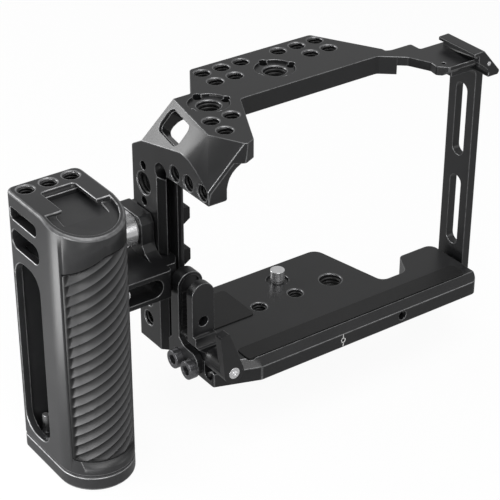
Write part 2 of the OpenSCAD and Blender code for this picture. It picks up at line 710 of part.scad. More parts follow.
// Hook that runs along one flank of the rail: s is -1 at the rear and +1 at the front
function hook(s, c) = let (
        tip = s < 0 ? rail_rear : rail_front,
        out = s < 0 ? tip + flank : tip - flank)
    [[-wall_out - rest_gap, out], [rail_tip_x, tip + s * c * sqrt(2)],
     [rail_neck_x - gap, tip + s * (c * sqrt(2) - flank + gap)]];

module clamp_arm() color(anodised) difference() {
    union() {
        plate(jaw_arm_low, jaw_arm_top, concat(
            [[-wall_out - rest_gap, jaw_arm_front]],
            [for (i = [0:2]) hook(-1, rest_gap)[i]],
            rounded([[rail_neck_x - gap, nose_y + 4.4, 1.5], [-wall_out + 2, nose_y, 1],
                     [-wall_out - 1.7, nose_y, 0],
                     [-wall_out - 1.7, jaw_arm_rear, 2.4], [grip_right, jaw_arm_rear, 0],
                     [grip_right, grip_front - 1, 1], [grip_right + 13, jaw_arm_front, 3],
                     [-wall_out - 1, jaw_arm_front, 0]])));
        difference() {
            panel(-jaw_out, jaw_out - wall_out - gap, rounded([
                [jaw_front - 0.5, jaw_arm_top - 1, 0], [jaw_front - 0.5, post_top, 3],
                [post_rear + 2, post_top, 1.2], [post_rear, post_top - 3, 1.2],
                [post_rear, jaw_arm_top + 5, 0.8], [post_rear - 2, jaw_arm_top + 2, 1.5],
                [post_rear - 6, jaw_arm_top, 0], [post_rear - 6, jaw_arm_top - 1, 0]]));
            translate([-jaw_out + post_t, jaw_rear - gap, jaw_arm_top])
                cube([big, big, jaw_high + gap - jaw_arm_top]);
        }
    }
    beam(jaw_arm_rear - 1, jaw_arm_rear + 6, rounded([
        [grip_right + 6, bolt_z - 4, 3.9], [-wall_out - 6.5, bolt_z - 4, 3.9],
        [-wall_out - 6.5, bolt_z + 4, 3.9], [grip_right + 6, bolt_z + 4, 3.9]]));
    rod_x(-jaw_out - 1, -jaw_out + post_t + 1, knob_y, knob_z, quarter_r + gap);
    rod_x(-jaw_out - knob_len - 3, -jaw_out, knob_y, knob_z, knob_r + gap);
    for (y = bolt_y) rod_x(grip_right - 1, grip_right + 12, y, bolt_z, bolt_r);
}

module moving_jaw() color(anodised) difference() {
    union() {
        panel(-jaw_out + post_t + 0.05, jaw_plate_t, rounded([
            [jaw_rear, jaw_low, 1], [jaw_front, jaw_low, 1], [jaw_front, jaw_high, 1],
            [jaw_rear, jaw_high, 1]]));
        plate(jaw_low, jaw_high, [
            [-jaw_out + post_t + 0.05, jaw_front], [-jaw_out + post_t + 0.05, jaw_edge],
            [rail_tip_x + rest_gap * sqrt(2) - jaw_edge + rail_front, jaw_edge],
            [rail_neck_x - gap, rail_front + rest_gap * sqrt(2) - flank + gap],
            [rail_neck_x - gap, jaw_front - 1.5], [rail_neck_x - 1.8, jaw_front]]);
    }
    rod_x(-jaw_out, -wall_out, knob_y, knob_z, quarter_r);
    translate([-jaw_out + post_t + jaw_plate_t - 1.5, knob_y, knob_z]) rotate([0, 90, 0])
        cylinder(r1 = quarter_r, r2 = quarter_r + 1.4, h = 1.6);
}

module draw_screw() color(bright_steel) difference() {
    union() {
        rod_x(knob_right - knob_len + 4, -jaw_out + post_t + jaw_plate_t - 1.5, knob_y, knob_z,
              quarter_r - running);
        translate([-jaw_out + post_t + jaw_plate_t - 1.5, knob_y, knob_z]) rotate([0, 90, 0])
            cylinder(r1 = quarter_r - running, r2 = quarter_r + 1.2, h = 1.5);
    }
    translate([-jaw_out + post_t + jaw_plate_t, knob_y, knob_z]) rotate([0, 90, 0]) key_socket(1.6, 1);
}

module clamp_knob() color(bright_steel) difference() {
    translate([knob_right - knob_len, knob_y, knob_z]) rotate([0, 90, 0]) rotate_extrude()
        polygon([[quarter_r, 0], [knob_r - 1, 0], [knob_r, 1], [knob_r, knob_len - 7.4],
                 [knob_r - 0.7, knob_len - 6.9], [knob_r - 0.7, knob_len - 0.6],
                 [knob_r - 1.3, knob_len], [quarter_r, knob_len]]);
    for (i = [0:11]) translate([0, knob_y, knob_z]) rotate([i * 30, 0, 0])
        rod_x(knob_right - knob_len - 1, knob_right - 8, 0, knob_r + 0.9, 1.8);
    translate([knob_right - 3.9, knob_y, knob_z]) rotate([140, 0, 0])
        rod_z(0, 12, 0, 0, 2.5);
}

module knob_grub() color(bright_steel)
    translate([knob_right - 3.9, knob_y, knob_z]) rotate([140, 0, 0]) difference() {
        rod_z(quarter_r + 0.6, knob_r - 0.9, 0, 0, 2.45);
        translate([-0.4, -5, knob_r - 1.8]) cube([0.8, 10, 2]);
    }

module thrust_washer() color(bright_steel) difference() {
    rod_x(-jaw_out - washer_t - 0.15, -jaw_out - 0.15, knob_y, knob_z, 6.4);
    rod_x(-jaw_out - 5, -jaw_out + 1, knob_y, knob_z, quarter_r + running);
}

module arm_bolts() color(bright_steel)
    for (y = bolt_y) difference() {
        union() {
            rod_x(grip_right - grip_wall - 4.2, grip_right - grip_wall, y, bolt_z, bolt_head_r);
            rod_x(grip_right - grip_wall, grip_right + 11, y, bolt_z, bolt_r - running);
        }
        translate([grip_right - grip_wall - 4.2, y, bolt_z]) rotate([0, -90, 0]) key_socket(2.2, 2.4);
    }

// ---------- handle ----------

// Handle section in X and Y: square at the front and half round at the rear, drawn in by d
function grip_section(d, r = 3.5) = concat(
    corner_arc([grip_x + grip_r - d, grip_round_y], [grip_x + grip_r - d, grip_front - d],
               [grip_x - grip_r + d, grip_front - d], max(r - d, 0.5), 6),
    corner_arc([grip_x + grip_r - d, grip_front - d], [grip_x - grip_r + d, grip_front - d],
               [grip_x - grip_r + d, grip_round_y], max(r - d, 0.5), 6),
    [for (a = [180:7.5:360]) [grip_x + (grip_r - d) * cos(a), grip_round_y + (grip_r - d) * sin(a)]]);

module grip_solid(z0, z1, d)
    plate(z0, z1, grip_section(d));

// Shoe slot in the top of the handle, open to the rear
module handle_shoe() {
    slot_x = grip_x + 0.6;
    floor_z = grip_top - 3.8;
    plate(grip_top - 1.9, grip_top + 1, slab(slot_x - 7.2, slot_x + 7.2, -11.7, 3, 1.5));
    plate(floor_z, grip_top - 1.7, slab(slot_x - 9.4, slot_x + 9.4, -19, 1.6, 1.5));
    translate([slot_x - 7.2, -14, floor_z]) cube([14.4, 6, 10]);
    translate([slot_x - 12.4, -30, grip_top - 1.7]) cube([24.8, 16.8, 10]);
}

// Ramp behind the shoe: the rear end of the top slopes down inside a raised rim
module ramp_cut() {
    ramp_n = [0, -sin(13), cos(13)];
    beyond([0, -13.3, grip_top - 0.2], ramp_n);
    intersection() {
        grip_solid(grip_top - 20, grip_top + 5, 2.4);
        translate([0, -13.2 - big, 0]) cube([2 * big, 2 * big, 2 * big], center = true);
        beyond([0, -13.3, grip_top - 2.6], ramp_n);
    }
}

module handle_windows() {
    for (w = [[-8.9, 13.6, 83, 88, 1.8], [-9.9, 13.5, 71, 79, 3.4]])
        panel(grip_right - grip_w - 1, grip_w + 2, slab(w[0], w[1] - 3, w[2], w[3], w[4]));
    panel(grip_right - grip_w - 1, grip_wall + 2, slab(-9, 10.3, grip_low + 5, 66, 8));
    panel(grip_right - grip_wall - 1, grip_wall + 2, slab(-9, 10.3, grip_low + 5, 24, 8));
}

module handle_body() color(anodised) difference() {
    grip_solid(grip_low, grip_top, 0);
    grip_solid(grip_low - 1, grip_top - deck_t - 12, grip_wall + rubber_t - 0.2);
    intersection() {
        grip_solid(grip_low - 1, grip_top - deck_t - 12, grip_wall);
        translate([-big, grip_round_y + 5, -big]) cube(2 * big);
    }
    handle_windows();
    for (i = [0:2])
        tapped_z(grip_x - 9.75 + i * 9.75, grip_front - 5.4, grip_top - deck_t, grip_top, quarter_r);
    handle_shoe();
    ramp_cut();
    rubber_space(gap / 2);
    for (y = bolt_y) rod_x(grip_right - grip_wall - 1, grip_right + 1, y, bolt_z, bolt_r + 0.1);
    for (x = cap_screw_x) rod_z(grip_low - 1, grip_low + 9, x, grip_front - 5.5, fixing_r);
    intersection() {
        grip_solid(grip_low - 1, grip_low + 1.2, -1);
        difference() {
            grip_solid(grip_low - 2, grip_low + 2, -2);
            grip_solid(grip_low - 3, grip_low + 3, 0.4);
        }
    }
}

cap_screw_x = [grip_x - 8, grip_x + 8];

// Seat of the rubber insert: a sector of the rear round whose top edge slants down to the left
module rubber_space(extra) {
    intersection() {
        difference() {
            grip_solid(grip_low_z - extra, grip_high_z + extra, -1);
            grip_solid(grip_low_z - 1 - extra, grip_high_z + 1 + extra, rubber_t + extra);
        }
        plate(grip_low_z - extra, grip_high_z + extra, [
            [grip_x, grip_round_y],
            [grip_x - 40 * sin(grip_arc), grip_round_y - 40 * cos(grip_arc)],
            [grip_x, grip_round_y - 90],
            [grip_x + 40 * sin(grip_arc), grip_round_y - 40 * cos(grip_arc)]]);
        translate([grip_x, 0, grip_high_z + extra]) rotate([0, -edge_slant, 0])
            translate([-big, -big, -2 * big]) cube(2 * big);
    }
}

// Rubber insert with slanted grooves
module handle_grip() color(black_rubber) difference() {
    rubber_space(0);
    intersection() {
        difference() {
            grip_solid(grip_low_z - 1, grip_high_z + 1, -1);
            grip_solid(grip_low_z - 2, grip_high_z + 2, groove_depth);
        }
        for (z = [grip_low_z - 9 : groove_pitch : grip_high_z + 9])
            translate([grip_x, grip_round_y, z]) rotate([0, -groove_tilt, 0])
                translate([-30, -30, 0]) cube([60, 30, groove_pitch * 0.4]);
    }
}

module handle_cap() color(anodised) difference() {
    grip_solid(grip_low - cap_t, grip_low, 0);
    for (x = cap_screw_x) {
        rod_z(grip_low - cap_t - 1, grip_low + 1, x, grip_front - 5.5, fixing_r);
        rod_z(grip_low - cap_t - 1, grip_low - cap_t + head_h + gap, x, grip_front - 5.5, head_r);
    }
    rod_z(grip_low - cap_t - 1, grip_low + 1, grip_x, -10, quarter_r);
    translate([grip_x, -10, grip_low - cap_t - mouth])
        cylinder(r1 = quarter_r + 2 * mouth, r2 = quarter_r, h = 2 * mouth);
}

module cap_screws() color(bright_steel)
    for (x = cap_screw_x) fixing_screw(x, grip_front - 5.5, grip_low - cap_t + gap, cap_t + 8);

cage_frame();
side_lugs();
base_plate();
frame_screws();
base_pads();
camera_screw();
screw_ring();
screw_clip();
right_arm();
arm_screws();
cable_bracket();
bracket_screws();
cable_finger();
fixed_pad();
slider_pad();
clamp_shaft();
shaft_clip();
cable_lever();
lever_screw();
clamp_arm();
handle_body();
handle_grip();
handle_cap();
cap_screws();
arm_bolts();
moving_jaw();
draw_screw();
clamp_knob();
knob_grub();
thrust_washer();
rail_pin();
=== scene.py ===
"""Camera cage with a clamp-on side handle and a cable clamp.

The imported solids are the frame. Every rigid one is shown as a copy with broken edges, and
the threads, the ridged rubber and the inlaid mark are added to them here.
"""

from __future__ import annotations

import json
import logging
import math
from dataclasses import dataclass, field
from enum import Enum
from typing import Any, Callable, Iterable, Sequence, Union

import bmesh
import bpy
from mathutils import Matrix, Vector

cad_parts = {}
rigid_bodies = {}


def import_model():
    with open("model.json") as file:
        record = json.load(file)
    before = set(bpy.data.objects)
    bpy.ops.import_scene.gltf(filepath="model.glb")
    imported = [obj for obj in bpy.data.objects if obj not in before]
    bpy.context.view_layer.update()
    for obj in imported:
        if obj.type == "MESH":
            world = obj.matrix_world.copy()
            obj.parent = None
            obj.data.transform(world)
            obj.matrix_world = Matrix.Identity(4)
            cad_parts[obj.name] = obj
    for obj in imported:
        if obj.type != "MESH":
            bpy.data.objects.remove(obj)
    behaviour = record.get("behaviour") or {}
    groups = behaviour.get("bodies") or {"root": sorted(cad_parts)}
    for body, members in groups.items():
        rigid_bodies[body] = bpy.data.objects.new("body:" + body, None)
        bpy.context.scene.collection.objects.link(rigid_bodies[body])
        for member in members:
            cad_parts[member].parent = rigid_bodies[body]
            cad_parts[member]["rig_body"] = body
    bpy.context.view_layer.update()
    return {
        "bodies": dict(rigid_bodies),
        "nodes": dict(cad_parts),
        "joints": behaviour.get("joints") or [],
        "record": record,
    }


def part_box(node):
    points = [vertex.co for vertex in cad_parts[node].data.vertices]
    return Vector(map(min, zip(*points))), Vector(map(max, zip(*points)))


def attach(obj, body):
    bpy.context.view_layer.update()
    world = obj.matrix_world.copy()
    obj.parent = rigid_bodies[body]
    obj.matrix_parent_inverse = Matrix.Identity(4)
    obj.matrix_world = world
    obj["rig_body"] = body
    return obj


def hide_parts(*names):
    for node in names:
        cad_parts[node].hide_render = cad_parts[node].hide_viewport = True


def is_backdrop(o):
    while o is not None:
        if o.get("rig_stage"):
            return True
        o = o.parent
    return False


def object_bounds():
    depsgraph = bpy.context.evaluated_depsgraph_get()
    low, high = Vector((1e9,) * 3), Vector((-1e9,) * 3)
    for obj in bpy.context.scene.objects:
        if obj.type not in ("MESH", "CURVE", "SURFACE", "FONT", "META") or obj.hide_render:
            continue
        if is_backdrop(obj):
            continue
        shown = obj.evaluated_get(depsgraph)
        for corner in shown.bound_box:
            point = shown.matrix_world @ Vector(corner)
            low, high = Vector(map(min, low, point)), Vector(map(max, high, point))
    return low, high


LOG = logging.getLogger("camera_cage")

MM = 0.001
# Face attribute with the strength of the painted highlight on broken edges, rims and countersink
# facets
EDGE_HIGHLIGHT_ATTRIBUTE = "painted_edge_highlight"
AXIS_ATTRIBUTE = "hole_axis"
# Point attribute with the strength of the painted highlight on the rubber ridges' lips
LIP_HIGHLIGHT_ATTRIBUTE = "lip"

# Sockets of the Mix node that carry colours
MIX_COLOUR_A = 6
MIX_COLOUR_B = 7
MIX_COLOUR_OUT = 2

Colour = tuple[float, float, float]
Value = Union["Expr", float, int, Sequence[float], bpy.types.Material, bool, str]
Sockets = dict[Union[str, int], Value]


class Axis(Enum):
    """A direction of the row frame."""

    X = 0
    Y = 1
    Z = 2

    def vector(self, length: float) -> Vector:
        """Vector of this length along the axis."""
        return Vector([length * (i == self.value) for i in range(3)])


# ---------------- node trees


def _operator(operation: str, flipped: bool = False) -> Callable[..., "Expr"]:
    """Makes a method of Expr that adds one Math node.

    Args:
        operation: The node's operation.
        flipped: Puts the other value first, as a reflected operator needs.

    Returns:
        The method.
    """

    def method(self: "Expr", *others: Value) -> "Expr":
        """Adds the node on this value and the others."""
        values = (*others, self) if flipped else (self, *others)
        return self.graph.node("ShaderNodeMath", {"operation": operation}, dict(enumerate(values)))

    return method


@dataclass(eq=False)
class Expr:
    """A node's output socket that takes part in Python expressions."""

    graph: "Graph"
    socket: bpy.types.NodeSocket

    __add__ = _operator("ADD")
    __radd__ = _operator("ADD", flipped=True)
    __sub__ = _operator("SUBTRACT")
    __rsub__ = _operator("SUBTRACT", flipped=True)
    __mul__ = _operator("MULTIPLY")
    __rmul__ = _operator("MULTIPLY", flipped=True)
    __truediv__ = _operator("DIVIDE")
    __rtruediv__ = _operator("DIVIDE", flipped=True)
    __abs__ = _operator("ABSOLUTE")
    __lt__ = _operator("LESS_THAN")
    __gt__ = _operator("GREATER_THAN")
    sin = _operator("SINE")
    cos = _operator("COSINE")
    fract = _operator("FRACT")
    root = _operator("SQRT")
    at_most = _operator("MINIMUM")
    at_least = _operator("MAXIMUM")

    def step_up(self, low: float, high: float) -> "Expr":
        """Smooth step.

        Args:
            low: Where the result leaves 0.
            high: Where the result reaches 1.

        Returns:
            A value between 0 and 1.
        """
        sockets = {"Value": self, "From Min": low, "From Max": high}
        return self.graph.node("ShaderNodeMapRange", {"interpolation_type": "SMOOTHSTEP"}, sockets)


@dataclass
class Graph:
    """A node tree of a material or of Geometry Nodes."""

    tree: bpy.types.NodeTree

    def node(
        self,
        kind: str,
        settings: dict[str, Any] | None = None,
        sockets: Sockets | None = None,
        out: Union[str, int] = 0,
    ) -> Expr:
        """Adds one node.

        Args:
            kind: The node's type.
            settings: Its own properties, set first.
            sockets: Values or links of its inputs, by name or index.
            out: Name or index of the output to return.

        Returns:
            The chosen output.
        """
        made = self.tree.nodes.new(kind)
        for name, value in (settings or {}).items():
            setattr(made, name, value)
        self.fill(made, sockets or {})
        return Expr(self, made.outputs[out])

    def fill(self, node: bpy.types.Node, sockets: Sockets) -> None:
        """Links or sets a node's inputs.

        Args:
            node: The node.
            sockets: Values or links of its inputs, by name or index.
        """
        for key, value in sockets.items():
            if isinstance(value, Expr):
                self.tree.links.new(value.socket, node.inputs[key])
            else:
                node.inputs[key].default_value = value


# ---------------- finishes


class Finish:
    """Base of the surface finishes: makes its material once."""

    name: str

    def material(self) -> bpy.types.Material:
        """The material, made on first use.

        Returns:
            The Blender material of this finish.
        """
        ready = bpy.data.materials.get(self.name)
        if ready is not None:
            return ready
        made = bpy.data.materials.new(self.name)
        made.use_nodes = True
        graph = Graph(made.node_tree)
        graph.fill(made.node_tree.nodes["Principled BSDF"], self.looks(graph))
        return made

    def looks(self, graph: Graph) -> Sockets:
        """What feeds the shader; each finish has its own.

        Args:
            graph: The material's tree.

        Returns:
            Values or links of the Principled BSDF's inputs.
        """
        raise NotImplementedError

    @staticmethod
    def place(graph: Graph) -> Expr:
        """Object coordinates, in metres."""
        return graph.node("ShaderNodeTexCoord", out="Object")

    def noise(self, graph: Graph, cell: float, detail: float = 2.0) -> Expr:
        """Noise between 0 and 1.

        Args:
            graph: The material's tree.
            cell: Size of its cells in metres.
            detail: Octaves.

        Returns:
            The noise value.
        """
        sockets = {"Vector": self.place(graph), "Scale": 1.0 / cell, "Detail": detail}
        return graph.node("ShaderNodeTexNoise", None, sockets, "Fac")

    @staticmethod
    def mark(graph: Graph, attribute: str) -> Expr:
        """An attribute of the mesh, between 0 and 1."""
        return graph.node("ShaderNodeAttribute", {"attribute_name": attribute}, out="Fac")

    @staticmethod
    def blend(graph: Graph, factor: Expr, low: Expr | Colour, high: Expr | Colour) -> Expr:
        """Mix of two colours.

        Args:
            graph: The material's tree.
            factor: Share of the second colour.
            low: The colour at 0.
            high: The colour at 1.

        Returns:
            The mixed colour.
        """
        first, second = (c if isinstance(c, Expr) else (*c, 1.0) for c in (low, high))
        sockets = {"Factor": factor, MIX_COLOUR_A: first, MIX_COLOUR_B: second}
        return graph.node("ShaderNodeMix", {"data_type": "RGBA"}, sockets, MIX_COLOUR_OUT)

    @staticmethod
    def bump(graph: Graph, height: Expr, depth: float, strength: float) -> Expr:
        """Normal of a bumpy surface.

        Args:
            graph: The material's tree.
            height: Height between 0 and 1.
            depth: Height in metres that 1 stands for.
            strength: Share of the effect.

        Returns:
            The bent normal.
        """
        sockets = {"Height": height, "Distance": depth, "Strength": strength}
        return graph.node("ShaderNodeBump", None, sockets)


@dataclass(frozen=True)
class AnodisedAluminium(Finish):
    """Bead-blasted aluminium, anodised black; its broken edges are smoother and metallic, with a
    painted highlight in their colour that is stronger in patches.
    """

    name: str = "black_anodised_aluminium"
    deep: Colour = (0.005, 0.0051, 0.0055)
    pale: Colour = (0.011, 0.0112, 0.012)
    cloud_share: float = 0.7
    grain_share: float = 0.3
    # Painted highlight on the broken edges: its colour, its share, and the noise patches where it
    # is stronger
    edge: Colour = (0.22, 0.221, 0.225)
    edge_share: float = 0.5
    highlight_patch_share: float = 0.35
    highlight_patch_from: float = 0.25
    highlight_patch_to: float = 0.6
    edge_metal: float = 0.7
    roughness: float = 0.33
    grain_roughness: float = 0.12
    cloud_roughness: float = 0.08
    edge_smoothness: float = 0.06
    grain_cell: float = 0.16 * MM
    grain_detail: float = 3.0
    cloud_cell: float = 9.0 * MM
    highlight_patch_cell: float = 2.5 * MM
    grain_depth: float = 0.010 * MM
    grain_strength: float = 0.45

    def looks(self, graph: Graph) -> Sockets:
        """What feeds the shader.

        Args:
            graph: The material's tree.

        Returns:
            Values or links of the Principled BSDF's inputs.
        """
        grain = self.noise(graph, self.grain_cell, self.grain_detail)
        cloud = self.noise(graph, self.cloud_cell)
        edge = self.mark(graph, EDGE_HIGHLIGHT_ATTRIBUTE)
        patches = self.noise(graph, self.highlight_patch_cell).step_up(self.highlight_patch_from, self.highlight_patch_to)
        mottle = cloud * self.cloud_share + grain * self.grain_share
        body = self.blend(graph, mottle, self.deep, self.pale)
        # Painted highlight on the broken edges, rims and countersinks, stronger in noise patches
        edge_highlight_amount = edge * self.edge_share + edge * patches * self.highlight_patch_share
        uneven = (grain - 0.5) * self.grain_roughness + (cloud - 0.5) * self.cloud_roughness
        return {
            "Base Color": self.blend(graph, edge_highlight_amount, body, self.edge),
            "Roughness": self.roughness + uneven - edge * self.edge_smoothness,
            "Normal": self.bump(graph, grain, self.grain_depth, self.grain_strength),
            "Metallic": edge * self.edge_metal,
        }


@dataclass(frozen=True)
class MouldedRubber(Finish):
    """Matt black rubber with a fine moulded skin and a painted highlight on its ridges' lips."""

    name: str = "moulded_rubber"
    deep: Colour = (0.004, 0.004, 0.0042)
    pale: Colour = (0.009, 0.009, 0.0093)
    dust_share: float = 0.6
    skin_share: float = 0.4
    # Painted highlight on the ridges' lips: its colour and how strong it is
    lip: Colour = (0.070, 0.070, 0.072)
    lip_share: float = 0.8
    lip_skin: float = 0.4
    roughness: float = 0.42
    skin_roughness: float = 0.2
    ior: float = 1.38
    skin_cell: float = 0.22 * MM
    skin_detail: float = 4.0
    dust_cell: float = 6.0 * MM
    dust_detail: float = 3.0
    skin_depth: float = 0.02 * MM
    skin_strength: float = 0.6

    def looks(self, graph: Graph) -> Sockets:
        """What feeds the shader.

        Args:
            graph: The material's tree.

        Returns:
            Values or links of the Principled BSDF's inputs.
        """
        skin = self.noise(graph, self.skin_cell, self.skin_detail)
        dust = self.noise(graph, self.dust_cell, self.dust_detail)
        lip = self.mark(graph, LIP_HIGHLIGHT_ATTRIBUTE)
        mottle = dust * self.dust_share + skin * self.skin_share
        body = self.blend(graph, mottle, self.deep, self.pale)
        # Painted highlight on the lips, a little uneven with the skin
        lip_highlight_amount = (lip * lip * (self.lip_share + skin * self.lip_skin)).at_most(1.0)
        return {
            "Base Color": self.blend(graph, lip_highlight_amount, body, self.lip),
            "Roughness": self.roughness + (skin - 0.5) * self.skin_roughness,
            "IOR": self.ior,
            "Normal": self.bump(graph, skin, self.skin_depth, self.skin_strength),
        }


@dataclass(frozen=True)
class BrightSteel(Finish):
    """Turned steel with fine tool marks across one axis."""

    name: str = "bright_steel"
    across: Axis = Axis.X
    deep: Colour = (0.70, 0.70, 0.71)
    pale: Colour = (0.92, 0.92, 0.93)
    cloud_share: float = 0.6
    mark_share: float = 0.4
    metal: float = 0.82
    roughness: float = 0.15
    cloud_roughness: float = 0.12
    mark_roughness: float = 0.05
    mark_width: float = 0.09 * MM
    mark_depth: float = 0.004 * MM
    mark_strength: float = 0.5
    wobble: float = 3.0
    wobble_cell: float = 1.2 * MM
    cloud_cell: float = 3.0 * MM

    def looks(self, graph: Graph) -> Sockets:
        """What feeds the shader.

        Args:
            graph: The material's tree.

        Returns:
            Values or links of the Principled BSDF's inputs.
        """
        parts = {0: self.place(graph)}
        along = graph.node("ShaderNodeSeparateXYZ", None, parts, self.across.value)
        wobble = self.noise(graph, self.wobble_cell) * self.wobble
        marks = (along * (2 * math.pi / self.mark_width) + wobble).sin() * 0.5 + 0.5
        cloud = self.noise(graph, self.cloud_cell)
        mottle = cloud * self.cloud_share + marks * self.mark_share
        uneven = (cloud - 0.5) * self.cloud_roughness + marks * self.mark_roughness
        return {
            "Base Color": self.blend(graph, mottle, self.deep, self.pale),
            "Roughness": self.roughness + uneven,
            "Normal": self.bump(graph, marks, self.mark_depth, self.mark_strength),
            "Metallic": self.metal,
        }


@dataclass(frozen=True)
class WhiteInlay(Finish):
    """White paint in an engraved line."""

    name: str = "white_inlay"
    colour: Colour = (0.78, 0.78, 0.77)
    dimmed: float = 0.85
    speck_cell: float = 0.3 * MM
    roughness: float = 0.55

    def looks(self, graph: Graph) -> Sockets:
        """What feeds the shader.

        Args:
            graph: The material's tree.

        Returns:
            Values or links of the Principled BSDF's inputs.
        """
        speck = self.noise(graph, self.speck_cell)
        red, green, blue = (part * self.dimmed for part in self.colour)
        shade = self.blend(graph, speck, (red, green, blue), self.colour)
        return {"Base Color": shade, "Roughness": self.roughness}


@dataclass(frozen=True)
class FinishSet:
    """Every finish of the object."""

    alloy: AnodisedAluminium = AnodisedAluminium()
    handle_alloy: AnodisedAluminium = AnodisedAluminium(
        name="grey_anodised_aluminium",
        deep=(0.015, 0.0152, 0.016),
        pale=(0.027, 0.0273, 0.0283),
        # Colour of the painted highlight on the handle's broken edges and rims
        edge=(0.34, 0.341, 0.346),
        roughness=0.35,
    )
    rubber: MouldedRubber = MouldedRubber()
    steel_x: BrightSteel = BrightSteel(name="turned_steel_x", across=Axis.X)
    steel_y: BrightSteel = BrightSteel(name="turned_steel_y", across=Axis.Y)
    steel_z: BrightSteel = BrightSteel(name="turned_steel_z", across=Axis.Z)
    dark_steel: BrightSteel = BrightSteel(
        name="dark_steel",
        across=Axis.X,
        deep=(0.10, 0.10, 0.105),
        pale=(0.20, 0.20, 0.21),
        roughness=0.26,
    )
    thread: AnodisedAluminium = AnodisedAluminium(
        name="cut_thread",
        deep=(0.004, 0.004, 0.0042),
        pale=(0.008, 0.008, 0.0085),
        roughness=0.5,
    )
    inlay: WhiteInlay = WhiteInlay()


# ---------------- mesh tools


def linked(name: str, mesh: bpy.types.Mesh, finish: Finish) -> bpy.types.Object:
    """Puts a mesh into the scene.

    Args:
        name: The piece's name.
        mesh: Its mesh, in place in the row frame.
        finish: Its finish.

    Returns:
        The new object.
    """
    made = bpy.data.objects.new(name, mesh)
    mesh.materials.clear()
    mesh.materials.append(finish.material())
    bpy.context.scene.collection.objects.link(made)
    return made


def report(piece: bpy.types.Object) -> None:
    """Logs a finished piece."""
    LOG.info("%s: %d faces", piece.name, len(piece.data.polygons))


def settled(obj: bpy.types.Object) -> bpy.types.Object:
    """Turns an object's modifiers into a plain mesh.

    Args:
        obj: An object with live modifiers.

    Returns:
        The same object with the result as its mesh.
    """
    graph = bpy.context.evaluated_depsgraph_get()
    mesh = bpy.data.meshes.new_from_object(obj.evaluated_get(graph), depsgraph=graph)
    obj.modifiers.clear()
    obj.data = mesh
    return obj


@dataclass(frozen=True)
class Rim:
    """Edges between an upright outer wall and a level face, above high or below low."""

    on_wall: Callable[[Vector], bool]
    width: float
    low: float
    high: float
    level: float = 0.5

    def holds(self, edge: bmesh.types.BMEdge) -> bool:
        """Tells whether an edge is one of them.

        Args:
            edge: An edge with its faces.

        Returns:
            True when it lies on the wall, at the top or the bottom.
        """
        upward = max(abs(face.normal.z) for face in edge.link_faces)
        outside = all(v.co.z > self.high or v.co.z < self.low for v in edge.verts)
        return outside and upward > self.level and all(self.on_wall(v.co) for v in edge.verts)


@dataclass(frozen=True)
class Cut:
    """How a group of edges is broken: width, faces across and strength of the painted highlight on
    their faces.
    """

    width: float
    segments: int
    mark: float


